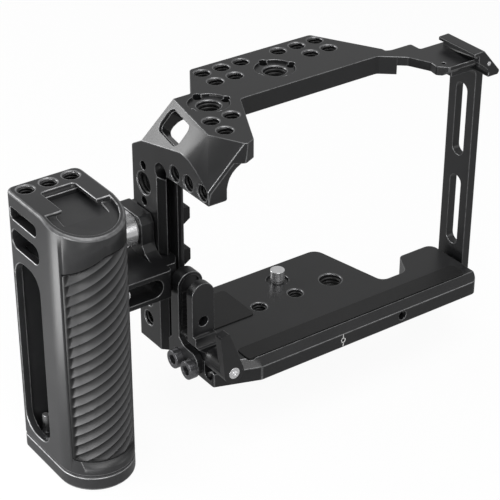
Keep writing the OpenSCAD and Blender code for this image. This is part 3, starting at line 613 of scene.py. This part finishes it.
@dataclass
class EdgeBreaker:
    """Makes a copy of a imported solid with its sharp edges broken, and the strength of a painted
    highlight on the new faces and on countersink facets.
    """

    merge: float = 0.002 * MM
    flat: float = math.radians(0.6)
    sharp: float = math.radians(28.0)
    crease: float = math.radians(50.0)
    edge_segments: int = 2
    # Strength of the painted highlight on broken edges; the ones below are for the handle's rims
    # and countersinks
    edge_highlight_strength: float = 1.0
    rim_segments: int = 4
    rim_highlight_strength: float = 0.45
    countersink_highlight_strength: float = 0.75
    countersink_area: float = 1.5 * MM * MM
    plate_area: float = 20 * MM * MM
    least_lean: float = 0.6
    most_lean: float = 0.97
    normal_weight: int = 60

    def copy(
        self,
        source: bpy.types.Object,
        name: str,
        width: float,
        finish: Finish,
        rim: Rim | None = None,
        spared: Callable[[Vector], bool] | None = None,
        clamp: bool = False,
    ) -> bpy.types.Object:
        """Builds the copy.

        Args:
            source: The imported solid.
            name: Name of the copy.
            width: Width of the broken edge in metres.
            finish: The copy's finish.
            rim: Edges that are rounded more than the others.
            spared: True at the places whose edges stay as they are.
            clamp: Keeps the bevels from running into each other.

        Returns:
            The finished object.
        """
        bm = bmesh.new()
        bm.from_mesh(source.data)
        bmesh.ops.remove_doubles(bm, verts=bm.verts, dist=self.merge)
        bmesh.ops.dissolve_degenerate(bm, dist=self.merge, edges=bm.edges)
        bmesh.ops.dissolve_limit(bm, angle_limit=self.flat, verts=bm.verts, edges=bm.edges)
        layer = bm.faces.layers.float.new(EDGE_HIGHLIGHT_ATTRIBUTE)
        for face in bm.faces:
            # Countersink facets get a painted highlight
            if self._is_countersink(face):
                face[layer] = self.countersink_highlight_strength
        if rim is not None:
            wide = [e for e in bm.edges if self._is_sharp(e) and rim.holds(e)]
            self._bevel(bm, layer, wide, Cut(rim.width, self.rim_segments, self.rim_highlight_strength), clamp)
        chosen = [e for e in bm.edges if self._is_sharp(e)]
        if spared is not None:
            chosen = [e for e in chosen if not all(spared(v.co) for v in e.verts)]
        self._bevel(bm, layer, chosen, Cut(width, self.edge_segments, self.edge_highlight_strength), clamp)
        for face in bm.faces:
            face.smooth = True
        mesh = bpy.data.meshes.new(name)
        bm.to_mesh(mesh)
        bm.free()
        mesh.set_sharp_from_angle(angle=self.crease)
        piece = linked(name, mesh, finish)
        weighted = piece.modifiers.new("even_normals", "WEIGHTED_NORMAL")
        weighted.keep_sharp = True
        weighted.weight = self.normal_weight
        return settled(piece)

    @staticmethod
    def _bevel(
        bm: bmesh.types.BMesh,
        layer: Any,
        chosen: list[bmesh.types.BMEdge],
        cut: Cut,
        clamp: bool,
    ) -> None:
        """Bevels edges and marks the new faces with the strength of their painted highlight.

        Args:
            bm: The mesh.
            layer: Face layer of the mark.
            chosen: Edges to bevel.
            cut: How they are broken.
            clamp: Keeps the bevels from running into each other.
        """
        if not chosen or cut.width <= 0:
            return
        made = bmesh.ops.bevel(
            bm,
            geom=chosen,
            offset=cut.width,
            offset_type="OFFSET",
            segments=cut.segments,
            profile=0.5,
            affect="EDGES",
            clamp_overlap=clamp,
            loop_slide=True,
            material=-1,
        )
        for face in made["faces"]:
            face[layer] = cut.mark

    def _is_countersink(self, face: bmesh.types.BMFace) -> bool:
        """Tells a countersink's facet.

        Args:
            face: Any face.

        Returns:
            True on a narrow facet that leans about 45 degrees against a large flat one.
        """
        if face.calc_area() > self.countersink_area:
            return False
        return any(
            self.least_lean < edge.calc_face_angle(0.0) < self.most_lean
            for edge in face.edges
            for other in edge.link_faces
            if other is not face and other.calc_area() >= self.plate_area
        )

    def _is_sharp(self, edge: bmesh.types.BMEdge) -> bool:
        """True on an outward edge that is sharper than the limit."""
        return edge.is_manifold and edge.is_convex and edge.calc_face_angle(0.0) > self.sharp


class NodeShape:
    """Base of the pieces that a Geometry Nodes tree shapes."""

    def sizes(self) -> dict[str, float]:
        """Names of the tree's inputs with their values."""
        raise NotImplementedError

    def shape(self, graph: Graph, given: dict[str, Expr]) -> Expr:
        """Fills the tree; each shape has its own.

        Args:
            graph: The tree.
            given: Its inputs by name.

        Returns:
            The geometry that it makes.
        """
        raise NotImplementedError

    def grown(self, name: str, seeds: bpy.types.Mesh, finish: Finish) -> bpy.types.Object:
        """Runs the tree and keeps its result as a plain mesh.

        Args:
            name: The piece's name.
            seeds: Mesh of the points that the tree starts from.
            finish: The piece's finish.

        Returns:
            The finished object.
        """
        piece = linked(name, seeds, finish)
        modifier = piece.modifiers.new("shape", "NODES")
        tree = self._tree(name)
        modifier.node_group = tree
        values = {**self.sizes(), "Material": finish.material()}
        for item in tree.interface.items_tree:
            if item.in_out == "INPUT" and item.name in values:
                modifier[item.identifier] = values[item.name]
        made = settled(piece)
        made.data.polygons.foreach_set("use_smooth", [True] * len(made.data.polygons))
        return made

    def _tree(self, name: str) -> bpy.types.NodeTree:
        """Makes the tree, with an input for each size.

        Args:
            name: The piece's name.

        Returns:
            The tree, which ends in Realize Instances and Set Material.
        """
        tree = bpy.data.node_groups.new(name + "_tree", "GeometryNodeTree")
        inputs = [("Geometry", "NodeSocketGeometry")]
        inputs += [(label, "NodeSocketFloat") for label in self.sizes()]
        inputs.append(("Material", "NodeSocketMaterial"))
        for label, kind in inputs:
            tree.interface.new_socket(label, in_out="INPUT", socket_type=kind)
        tree.interface.new_socket("Geometry", in_out="OUTPUT", socket_type="NodeSocketGeometry")
        graph = Graph(tree)
        entry = tree.nodes.new("NodeGroupInput")
        given = {s.name: Expr(graph, s) for s in entry.outputs if s.name}
        real = graph.node("GeometryNodeRealizeInstances", None, {0: self.shape(graph, given)})
        sockets = {0: real, "Material": given["Material"]}
        dressed = graph.node("GeometryNodeSetMaterial", None, sockets)
        graph.fill(tree.nodes.new("NodeGroupOutput"), {0: dressed})
        return tree


@dataclass(frozen=True)
class Hole:
    """A threaded hole: the middle of its mouth and the way out of it."""

    mouth: Vector
    out: Vector


class Thread(Enum):
    """Radius and pitch of the threads that the object has."""

    QUARTER_INCH = (3.175 * MM, 1.27 * MM)
    THREE_EIGHTHS_INCH = (4.7625 * MM, 1.5875 * MM)

    @property
    def radius(self) -> float:
        """Outer radius in metres."""
        return self.value[0]

    @property
    def pitch(self) -> float:
        """Rise of one turn in metres."""
        return self.value[1]


@dataclass
class ThreadCutter(NodeShape):
    """Winds a thread into every hole of one kind."""

    name: str
    thread: Thread
    length: float
    steps: int = 28
    mouth: float = 0.9 * MM
    depth_share: float = 0.5
    profile_corners: int = 4

    def cut(self, holes: Sequence[Hole], finish: Finish) -> bpy.types.Object:
        """Builds the threads of these holes.

        Args:
            holes: The holes.
            finish: Finish of the threads.

        Returns:
            One object with all threads as a plain mesh.
        """
        mouths = bpy.data.meshes.new(self.name)
        mouths.from_pydata([tuple(h.mouth) for h in holes], [], [])
        axes = mouths.attributes.new(AXIS_ATTRIBUTE, "FLOAT_VECTOR", "POINT")
        for item, hole in zip(axes.data, holes):
            item.vector = hole.out
        return self.grown(self.name, mouths, finish)

    def sizes(self) -> dict[str, float]:
        """Names of the tree's inputs with their values."""
        return {
            "Radius": self.thread.radius,
            "Pitch": self.thread.pitch,
            "Length": self.length,
            "Mouth": self.mouth,
        }

    def shape(self, graph: Graph, given: dict[str, Expr]) -> Expr:
        """Winds one thread and puts it in every hole.

        Args:
            graph: The tree.
            given: Its inputs by name.

        Returns:
            The threads as instances.
        """
        spiral = {
            "Resolution": self.steps,
            "Rotations": given["Length"] / given["Pitch"],
            "Start Radius": given["Radius"],
            "End Radius": given["Radius"],
            "Height": given["Length"],
        }
        wire = graph.node("GeometryNodeCurveSpiral", None, spiral)
        circle = {"Resolution": self.profile_corners, "Radius": given["Pitch"] * self.depth_share}
        ridge = graph.node("GeometryNodeCurvePrimitiveCircle", None, circle)
        swept = {0: wire, 1: ridge, "Fill Caps": True}
        thread = graph.node("GeometryNodeCurveToMesh", None, swept)
        depth = 0.0 - given["Length"] - given["Mouth"]
        drop = graph.node("ShaderNodeCombineXYZ", None, {2: depth})
        moved = {"Geometry": thread, "Translation": drop}
        sunk = graph.node("GeometryNodeTransform", None, moved)
        kind = {"data_type": "FLOAT_VECTOR"}
        axis = graph.node("GeometryNodeInputNamedAttribute", kind, {"Name": AXIS_ATTRIBUTE})
        turned = graph.node("FunctionNodeAlignRotationToVector", {"axis": "Z"}, {"Vector": axis})
        spots = graph.node("GeometryNodeMeshToPoints", None, {0: given["Geometry"]})
        sockets = {"Points": spots, "Instance": sunk, "Rotation": turned}
        return graph.node("GeometryNodeInstanceOnPoints", None, sockets)


# ---------------- sub-assemblies


@dataclass
class Assembly:
    """Base of the sub-assemblies: knows the frame and dresses its nodes."""

    frame: dict[str, Any]
    finishes: FinishSet
    breaker: EdgeBreaker = field(default_factory=EdgeBreaker)

    def milled(self, node: str, width: float, finish: Finish, **choices: Any) -> bpy.types.Object:
        """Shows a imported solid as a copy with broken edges.

        Args:
            node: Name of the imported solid.
            width: Width of the broken edges in metres.
            finish: Its finish.
            choices: The edge breaker's other choices.

        Returns:
            The copy.
        """
        source = self.frame["nodes"][node]
        made = self.breaker.copy(source, node + "_finished", width, finish, **choices)
        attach(made, source["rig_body"])
        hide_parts(node)
        report(made)
        return made

    def _slot(self, node: str) -> str:
        """The record's material slot of a node."""
        return {s["node"]: s["material_slot"] for s in self.frame["record"]["subparts"]}[node]

    def mounts(self, names: Iterable[str]) -> list[Hole]:
        """Mouths of the threaded holes that the record names.

        Args:
            names: Mounts of a single hole or of a row of holes.

        Returns:
            One hole for each thread.
        """
        table = {m["name"]: m for m in self.frame["record"]["mounts"]}
        holes: list[Hole] = []
        for name in names:
            mount = table[name]
            dims = mount["dims"]
            out = Vector(mount["axis"])
            middle = Vector(mount["pos_m"])
            count = dims.get("count", 1)
            step = Vector()
            across = [a for a in Axis if abs(out[a.value]) < 0.5]
            for key, axis in zip(("spacing_x_mm", "spacing_y_mm"), across):
                if key in dims:
                    step = axis.vector(dims[key] * MM)
            for i in range(count):
                holes.append(Hole(middle + step * (i - (count - 1) / 2), out))
        return holes


@dataclass(frozen=True)
class IndexMark:
    """The inlaid ring with a line above and below it, on a face that looks back."""

    x: float = 0.0
    z: float = 3.4 * MM
    radius: float = 1.1 * MM
    ring_width: float = 0.22 * MM
    half_line: float = 0.13 * MM
    line_reach: float = 2.6
    proud: float = 0.03 * MM
    thickness: float = 0.1 * MM
    steps: int = 24

    def build(self, face_y: float, finish: Finish) -> bpy.types.Object:
        """Builds the mark.

        Args:
            face_y: Where the marked face stands.
            finish: The mark's finish.

        Returns:
            A thin closed mesh.
        """
        bm = bmesh.new()
        for band in self._bands():
            corners = [Vector((x, face_y - self.proud, z)) for x, z in band]
            bm.faces.new([bm.verts.new(corner) for corner in corners])
        bm.normal_update()
        skin = bmesh.ops.extrude_face_region(bm, geom=list(bm.faces))
        moved = [v for v in skin["geom"] if isinstance(v, bmesh.types.BMVert)]
        bmesh.ops.translate(bm, verts=moved, vec=Axis.Y.vector(self.thickness))
        bmesh.ops.recalc_face_normals(bm, faces=bm.faces)
        mesh = bpy.data.meshes.new("index_mark")
        bm.to_mesh(mesh)
        bm.free()
        return linked("index_mark", mesh, finish)

    def _bands(self) -> list[list[tuple[float, float]]]:
        """Lays out the mark.

        Returns:
            Corners in X and Z of the ring's parts and the two lines, in metres.
        """
        outer, inner = self.radius, self.radius - self.ring_width
        bands = []
        for i in range(self.steps):
            a, b = (2 * math.pi * k / self.steps for k in (i, i + 1))
            part = ((outer, a), (outer, b), (inner, b), (inner, a))
            bands.append([(self.x + r * math.cos(w), self.z + r * math.sin(w)) for r, w in part])
        left, right = self.x - self.half_line, self.x + self.half_line
        tail = self.line_reach * self.radius
        for low, high in ((self.z - tail, self.z - outer), (self.z + outer, self.z + tail)):
            bands.append([(left, low), (right, low), (right, high), (left, high)])
        return bands


@dataclass
class Cage(Assembly):
    """Frame, base plate and right upright, with their screws, pads and threads.

    The depths are the wound lengths of the threads in each place.
    """

    edge: float = 0.25 * MM
    pad_edge: float = 0.175 * MM
    screw_edge: float = 0.075 * MM
    row_pitch: float = 9.5 * MM
    ring_step: float = 1.1 * MM
    underside: float = 0.0
    top_depth: float = 6.2 * MM
    side_depth: float = 6.8 * MM
    ring_depth: float = 5.4 * MM
    side_ring_depth: float = 6.6 * MM
    base_depth: float = 7.6 * MM
    base_ring_depth: float = 7.4 * MM

    def build(self) -> None:
        """Builds and dresses all of its pieces."""
        for node in ("cage_frame", "base_plate", "right_arm"):
            self.milled(node, self.edge, self.finishes.alloy)
        for node in ("side_lugs", "base_pads"):
            self.milled(node, self.pad_edge, self.finishes.rubber)
        for node in ("frame_screws", "arm_screws"):
            self.milled(node, self.screw_edge, self.finishes.steel_z)
        self.milled("rail_pin", self.screw_edge, self.finishes.steel_y)
        self._threads()
        rear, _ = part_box("base_plate")
        made = IndexMark().build(rear.y, self.finishes.inlay)
        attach(made, "cage")
        report(made)

    def _threads(self) -> None:
        """Winds the threads of the top plate, the wall and the base plate."""
        quarter, large = Thread.QUARTER_INCH, Thread.THREE_EIGHTHS_INCH
        rows = self.mounts(("top_row_left", "top_row_right", "top_pair_left", "top_pair_right"))
        top = rows[0].mouth.z
        single = self.mounts(("top_row_left_middle", "top_row_right_middle"))
        single += self.mounts(f"shoulder_thread_{letter}" for letter in "abc")
        rings = self.mounts(("top_locating_centre", "top_locating_left"))
        side = self._side_row() + self.mounts(("side_pair",))
        side_ring = self.mounts(("side_locating",))
        base = self.mounts(("tripod_thread", "base_thread_14"))
        base_ring = self.mounts(("base_thread_38",))
        plate = rows + self._moved(single, Axis.Z, top)
        rings = self._moved(rings, Axis.Z, top - self.ring_step)
        side_ring = self._moved(side_ring, Axis.X, side[0].mouth.x)
        base = self._moved(base, Axis.Z, self.underside)
        base_ring = self._moved(base_ring, Axis.Z, self.underside)
        for name, thread, depth, holes in (
            ("top_quarter_threads", quarter, self.top_depth, plate),
            ("side_quarter_threads", quarter, self.side_depth, side),
            ("top_locating_threads", large, self.ring_depth, rings),
            ("side_locating_thread", large, self.side_ring_depth, side_ring),
            ("base_quarter_threads", quarter, self.base_depth, base),
            ("base_locating_thread", large, self.base_ring_depth, base_ring),
        ):
            made = ThreadCutter(name, thread, depth).cut(holes, self.finishes.thread)
            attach(made, "cage")
            report(made)

    def _side_row(self) -> list[Hole]:
        """Finds the holes at the foot of the shoulder, whose mount names their middle.

        Returns:
            The three holes.
        """
        middle = self.mounts(("side_row",))[0]
        step = Axis.Y.vector(self.row_pitch)
        return [Hole(middle.mouth + step * i, middle.out) for i in (-1, 0, 1)]

    @staticmethod
    def _moved(holes: Sequence[Hole], axis: Axis, place: float) -> list[Hole]:
        """Moves the mouths of holes to one plane.

        Args:
            holes: The holes.
            axis: The direction that they move along.
            place: Where the plane crosses it.

        Returns:
            New holes with their mouths in that plane.
        """
        moved = []
        for hole in holes:
            mouth = hole.mouth.copy()
            mouth[axis.value] = place
            moved.append(Hole(mouth, hole.out))
        return moved


@dataclass
class CableClamp(Assembly):
    """The two fingers, the lever and what holds them."""

    edge: float = 0.28 * MM
    small_edge: float = 0.112 * MM

    def build(self) -> None:
        """Builds and dresses all of its pieces."""
        for node in ("cable_bracket", "cable_finger"):
            self.milled(node, self.edge, self.finishes.alloy)
        self.milled("cable_lever", self.edge, self.finishes.alloy, clamp=True)
        for node in ("fixed_pad", "slider_pad"):
            self.milled(node, self.small_edge, self.finishes.rubber)
        self.milled("bracket_screws", self.edge, self.finishes.dark_steel)
        for node in ("clamp_shaft", "shaft_clip", "lever_screw"):
            self.milled(node, self.small_edge, self.finishes.steel_y)


@dataclass
class CameraScrew(Assembly):
    """The captive screw with its folding ring and clip."""

    edge: float = 0.2 * MM
    clip_edge: float = 0.1 * MM
    ring_edge: float = 0.0

    def build(self) -> None:
        """Builds and dresses all of its pieces."""
        self.milled("camera_screw", self.edge, self.finishes.steel_z)
        self.milled("screw_clip", self.clip_edge, self.finishes.alloy)
        self.milled("screw_ring", self.ring_edge, self.finishes.steel_x)


@dataclass
class RailClamp(Assembly):
    """Arm, jaw and knob that hold the handle on the rail."""

    edge: float = 0.3 * MM
    steel_edge: float = 0.15 * MM

    def build(self) -> None:
        """Builds and dresses all of its pieces."""
        for node in ("clamp_arm", "moving_jaw"):
            self.milled(node, self.edge, self.finishes.alloy)
        for node in ("clamp_knob", "draw_screw", "knob_grub", "thrust_washer", "arm_bolts"):
            self.milled(node, self.steel_edge, self.finishes.steel_x)


@dataclass
class RidgedInsert(NodeShape):
    """The rubber insert: a rolled sector of a cylinder with slanted, scalloped ridges.

    A grid is laid round the sector. Its first row and its last two lie on the inner wall, the
    last one back at the bottom, where welding closes the shell.
    """

    centre: Vector
    radius: float
    thickness: float
    low: float
    high: float
    half_angle: float = math.radians(64.0)
    tilt: float = 0.57
    slant: float = math.tan(math.radians(27.0))
    pitch: float = 4.52 * MM
    start: float = 1.64 * MM
    depth: float = 1.15 * MM
    undercut: float = 0.125
    side_fade: tuple[float, float] = (1.1 * MM, 2.5 * MM)
    end_fade: tuple[float, float] = (0.1 * MM, 1.0 * MM)
    roll: float = 0.5 * MM
    inset: float = 0.1 * MM
    corner: float = 1.5 * MM
    seam: float = 0.001 * MM
    weld: float = 0.004 * MM
    crease: float = math.radians(30.0)
    columns: int = 130
    rows_per_ridge: int = 16

    def build(self, name: str, finish: Finish) -> bpy.types.Object:
        """Builds the insert.

        Args:
            name: The piece's name.
            finish: Its finish.

        Returns:
            A closed plain mesh.
        """
        seed = bpy.data.meshes.new(name)
        seed.from_pydata([tuple(self.centre)], [], [])
        made = self.grown(name, seed, finish)
        made.data.set_sharp_from_angle(angle=self.crease)
        return made

    def sizes(self) -> dict[str, float]:
        """Names of the tree's inputs with their values."""
        return {
            "Radius": self.radius,
            "Thickness": self.thickness,
            "Low": self.low + self.inset,
            "High": self.high - self.inset,
            "Tilt": self.tilt,
            "Slant": self.slant,
            "Pitch": self.pitch,
            "Depth": self.depth,
            "Roll": self.roll,
            "Corner": self.corner,
        }

    def shape(self, graph: Graph, given: dict[str, Expr]) -> Expr:
        """Lays a grid round the sector and scallops it.

        Args:
            graph: The tree.
            given: Its inputs by name.

        Returns:
            The closed, welded sector with the strength of the painted highlight on its ridges'
            lips.
        """
        reach = self.radius * self.half_angle
        cell = self.pitch / self.rows_per_ridge
        span = self.high - self.low + 2 * reach * self.tilt + self.pitch
        rows = math.ceil(span / cell) + 1
        sheet = {"Size X": 2.0, "Size Y": 1.0, "Vertices X": self.columns, "Vertices Y": rows + 3}
        grid = graph.node("GeometryNodeMeshGrid", None, sheet)
        spot = graph.node("GeometryNodeInputPosition")
        across = graph.node("ShaderNodeSeparateXYZ", None, {0: spot}, Axis.X.value)
        along = graph.node("ShaderNodeSeparateXYZ", None, {0: spot}, Axis.Y.value)
        row = (along + 0.5) * (rows + 2.0)
        inward = ((row < 0.5) + (row > rows + 0.5)).at_most(1.0)
        wrapped = row > rows + 1.5
        run = across * (self.half_angle - self.inset / self.radius)
        arc = run * given["Radius"]
        side = reach - self.inset - abs(arc)
        lift = self._fall(given["Corner"], (given["Corner"] - side).at_least(0.0))
        bottom = given["Low"] + lift
        slope = (run.sin() * given["Radius"] * given["Slant"]).at_most(0.0)
        top = given["High"] + slope - lift
        first = math.floor((self.low - reach * self.tilt - self.start) / self.pitch)
        raw = (row - 1.0) * cell + (first * self.pitch + self.start) + arc * given["Tilt"]
        height = raw.at_least(bottom).at_most(top)
        height = height * (1.0 - wrapped) + bottom * wrapped
        below = 1.0 - ((height - self.start - arc * given["Tilt"]) / given["Pitch"]).fract()
        flare = ((below - self.undercut) / (1.0 - self.undercut)).at_least(0.0)
        scallop = (below / self.undercut).at_most(1.0 - flare * flare).at_least(0.0)
        ends = (height - bottom).at_most(top - height)
        mask = side.step_up(*self.side_fade) * ends.step_up(*self.end_fade)
        near = side.at_most(ends).at_most(given["Roll"])
        rolled = self._fall(given["Roll"], given["Roll"] - near)
        outer = given["Radius"] - given["Depth"] * scallop * mask - rolled
        inner = given["Radius"] - given["Thickness"]
        hidden = (inward + (side < self.seam)).at_most(1.0)
        far = outer * (1.0 - hidden) + inner * hidden
        x, y = run.sin() * far + self.centre.x, self.centre.y - run.cos() * far
        place = graph.node("ShaderNodeCombineXYZ", None, {0: x, 1: y, 2: height})
        # Strength of the painted highlight on the lips, where the scallop rises to them
        marked = graph.node(
            "GeometryNodeStoreNamedAttribute",
            {"data_type": "FLOAT", "domain": "POINT"},
            {"Geometry": grid, "Name": LIP_HIGHLIGHT_ATTRIBUTE, "Value": flare * mask * (1.0 - hidden)},
        )
        bent = {"Geometry": marked, "Position": place}
        laid = graph.node("GeometryNodeSetPosition", None, bent)
        welded = {"Geometry": laid, "Distance": self.weld}
        return graph.node("GeometryNodeMergeByDistance", None, welded)

    @staticmethod
    def _fall(radius: Expr, reach: Expr) -> Expr:
        """How far a quarter circle has fallen at this reach from its top."""
        return radius - (radius * radius - reach * reach).at_least(0.0).root()


@dataclass(frozen=True)
class SeatMouth:
    """Where the insert's seat opens in the back of the handle."""

    low: float
    high: float
    back: float

    def holds(self, place: Vector) -> bool:
        """True round the mouth of the seat."""
        return self.low < place.z < self.high and place.y < self.back


@dataclass
class SideHandle(Assembly):
    """Handle body, cap and ridged rubber insert."""

    edge: float = 0.4 * MM
    screw_edge: float = 0.12 * MM
    rim: float = 1.1 * MM
    rim_foot: float = 0.1 * MM
    rim_top: float = 4.8 * MM
    middle: Vector = field(default_factory=lambda: Vector((-110.85, -16.3, 0.0)) * MM)
    radius: float = 15.85 * MM
    front: float = 14.0 * MM
    corner: float = 3.5 * MM
    wall_margin: float = 0.06 * MM
    rubber: float = 2.0 * MM
    seat_margin: float = 0.5 * MM
    seat_back: float = 6.5 * MM
    thread_depth: float = 9.0 * MM

    def build(self) -> None:
        """Builds and dresses all of its pieces."""
        foot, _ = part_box("handle_cap")
        _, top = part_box("handle_body")
        low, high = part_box("handle_grip")
        margin, back = self.seat_margin, self.middle.y - self.seat_back
        mouth = SeatMouth(low.z - margin, high.z + margin, back)
        rim = Rim(self._on_wall, self.rim, foot.z + self.rim_foot, top.z - self.rim_top)
        alloy = self.finishes.handle_alloy
        for node in ("handle_body", "handle_cap"):
            self.milled(node, self.edge, alloy, rim=rim, spared=mouth.holds)
        self.milled("cap_screws", self.screw_edge, self.finishes.steel_z)
        self._insert(low.z, high.z)
        self._threads()

    def _insert(self, low: float, high: float) -> None:
        """Puts the ridged insert in the place of the plain one.

        Args:
            low: Its lower end in metres.
            high: Its upper end in metres.
        """
        shape = RidgedInsert(self.middle, self.radius, self.rubber, low, high)
        made = shape.build("handle_insert", self.finishes.rubber)
        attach(made, "handle")
        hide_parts("handle_grip")
        self._slot("handle_grip")
        report(made)

    def _on_wall(self, place: Vector) -> bool:
        """Tells the outer wall of the handle: round at the back, square at the front.

        Args:
            place: A point of the handle.

        Returns:
            True on that wall.
        """
        across = abs(place.x - self.middle.x)
        if place.y < self.middle.y:
            gap = math.hypot(across, place.y - self.middle.y) - self.radius
        else:
            side = across - self.radius + self.corner
            ahead = place.y - self.front + self.corner
            inside = side < 0 or ahead < 0
            gap = (max(side, ahead) if inside else math.hypot(side, ahead)) - self.corner
        return abs(gap) < self.wall_margin

    def _threads(self) -> None:
        """Winds the threads of the handle's top; both rows share their middle hole."""
        holes = self.mounts(("handle_row_left", "handle_row_right"))
        single = {round(hole.mouth.x / MM, 2): hole for hole in holes}
        cutter = ThreadCutter("handle_threads", Thread.QUARTER_INCH, self.thread_depth)
        made = cutter.cut(list(single.values()), self.finishes.thread)
        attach(made, "handle")
        report(made)


# ---------------- studio


@dataclass(frozen=True)
class SoftBox:
    """A square soft light that the camera doesn't see."""

    name: str
    place: tuple[float, float, float]
    target: tuple[float, float, float]
    side: float
    watts: float

    def build(self) -> None:
        """Hangs the light and turns it to its target."""
        data = bpy.data.lights.new(self.name, "AREA")
        data.shape = "SQUARE"
        data.size = self.side
        data.energy = self.watts
        lamp = bpy.data.objects.new(self.name, data)
        lamp.location = self.place
        lamp.visible_camera = False
        aim = Vector(self.target) - Vector(self.place)
        lamp.rotation_mode = "QUATERNION"
        lamp.rotation_quaternion = aim.to_track_quat("-Z", "Y")
        bpy.context.scene.collection.objects.link(lamp)


@dataclass
class Studio:
    """Floor, soft lights and camera."""

    boxes: tuple[SoftBox, ...] = (
        SoftBox("top_box", (0.0, -0.1, 0.95), (0.0, 0.0, 0.05), 0.7, 4.6),
        SoftBox("front_box", (-0.22, -0.6, 0.66), (-0.05, -0.02, 0.05), 0.45, 2.5),
        SoftBox("left_box", (-0.74, -0.34, 0.1), (-0.11, -0.02, 0.03), 0.3, 2.6),
        SoftBox("low_box", (-0.22, 0.01, 0.01), (-0.125, -0.01, 0.005), 0.07, 0.13),
        SoftBox("low_front_box", (-0.165, -0.13, 0.015), (-0.115, -0.03, 0.03), 0.05, 0.014),
        SoftBox("far_box", (-0.52, 0.78, 0.36), (-0.08, 0.0, 0.09), 0.5, 4.8),
        SoftBox("right_box", (0.55, -0.62, 0.28), (0.0, 0.0, 0.05), 0.35, 0.6),
    )
    floor_half: float = 3.0
    floor_shade: Colour = (0.88, 0.88, 0.88)
    floor_seen: float = 0.93
    floor_mirrored: float = 0.95
    mirrored_glow: float = 0.4
    world_shade: Colour = (1.0, 1.0, 1.0)
    world_glow: float = 0.2
    world_seen: float = 0.8
    world_mirrored: float = 0.3
    camera_place: Vector = field(default_factory=lambda: Vector((-0.3823, -0.5023, 0.4034)))
    azimuth: float = math.radians(-35.51)
    elevation: float = math.radians(30.57)
    roll: float = math.radians(0.16)
    focal_px: float = 1735.2
    frame_px: float = 500.0
    sensor: float = 36.0
    clip_start: float = 0.05
    clip_end: float = 50.0

    def build(self) -> None:
        """Builds the floor, the lights and the camera."""
        self._floor()
        self._world()
        for box in self.boxes:
            box.build()
        self._camera()

    @staticmethod
    def _rays(graph: Graph) -> tuple[Expr, Expr]:
        """Tells what a ray of light comes from.

        Args:
            graph: The tree of the floor's material or the world.

        Returns:
            1 for rays from the camera, and 1 for mirrored ones.
        """
        names = ("Is Camera Ray", "Is Glossy Ray")
        camera, mirrored = (graph.node("ShaderNodeLightPath", out=name) for name in names)
        return camera, mirrored

    def _floor(self) -> None:
        """Lays a pale floor under the lowest point of the handle."""
        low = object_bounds()[0].z
        half = self.floor_half
        mesh = bpy.data.meshes.new("floor")
        corners = [(-half, -half, low), (half, -half, low), (half, half, low), (-half, half, low)]
        mesh.from_pydata(corners, [], [(0, 1, 2, 3)])
        floor = bpy.data.objects.new("floor", mesh)
        bpy.context.scene.collection.objects.link(floor)
        material = bpy.data.materials.new("pale_floor")
        material.use_nodes = True
        graph = Graph(material.node_tree)
        camera, mirrored = self._rays(graph)
        plain = graph.node("ShaderNodeBsdfDiffuse", None, {"Color": (*self.floor_shade, 1.0)})
        glow = camera + mirrored * self.mirrored_glow
        white = graph.node("ShaderNodeEmission", None, {"Strength": glow})
        share = camera * self.floor_seen + mirrored * self.floor_mirrored
        mixed = graph.node("ShaderNodeMixShader", None, {0: share, 1: plain, 2: white})
        graph.fill(material.node_tree.nodes["Material Output"], {"Surface": mixed})
        mesh.materials.append(material)
        floor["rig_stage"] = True

    def _world(self) -> None:
        """Lights the object softly from all round, white to the camera."""
        world = bpy.data.worlds.new("studio")
        world.use_nodes = True
        bpy.context.scene.world = world
        graph = Graph(world.node_tree)
        camera, mirrored = self._rays(graph)
        glow = self.world_glow + camera * self.world_seen + mirrored * self.world_mirrored
        light = {"Color": (*self.world_shade, 1.0), "Strength": glow}
        graph.fill(world.node_tree.nodes["Background"], light)

    def _camera(self) -> None:
        """Sets up the camera."""
        a, e = self.azimuth, self.elevation
        back = Vector((math.sin(a) * math.cos(e), -math.cos(a) * math.cos(e), math.sin(e)))
        right = Vector((math.cos(a), math.sin(a), 0.0))
        up = back.cross(right)
        turn = Matrix((right, up, back)).transposed() @ Matrix.Rotation(self.roll, 3, "Z")
        data = bpy.data.cameras.new("camera")
        data.sensor_width = self.sensor
        data.lens = self.focal_px * self.sensor / self.frame_px
        data.clip_start = self.clip_start
        data.clip_end = self.clip_end
        camera = bpy.data.objects.new("camera", data)
        camera.location = self.camera_place
        camera.rotation_mode = "QUATERNION"
        camera.rotation_quaternion = turn.to_quaternion()
        bpy.context.scene.collection.objects.link(camera)
        bpy.context.scene.camera = camera


def main() -> None:
    """Builds the dressed object and its studio."""
    logging.basicConfig(level=logging.INFO, format="%(message)s")
    for obj in list(bpy.data.objects):
        bpy.data.objects.remove(obj)
    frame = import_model()
    finishes = FinishSet()
    for kind in (Cage, CableClamp, CameraScrew, RailClamp, SideHandle):
        kind(frame, finishes).build()
        LOG.info("%s built", kind.__name__)
    Studio().build()
    bpy.context.scene.view_settings.view_transform = "Standard"


if __name__ == "__main__":
    main()
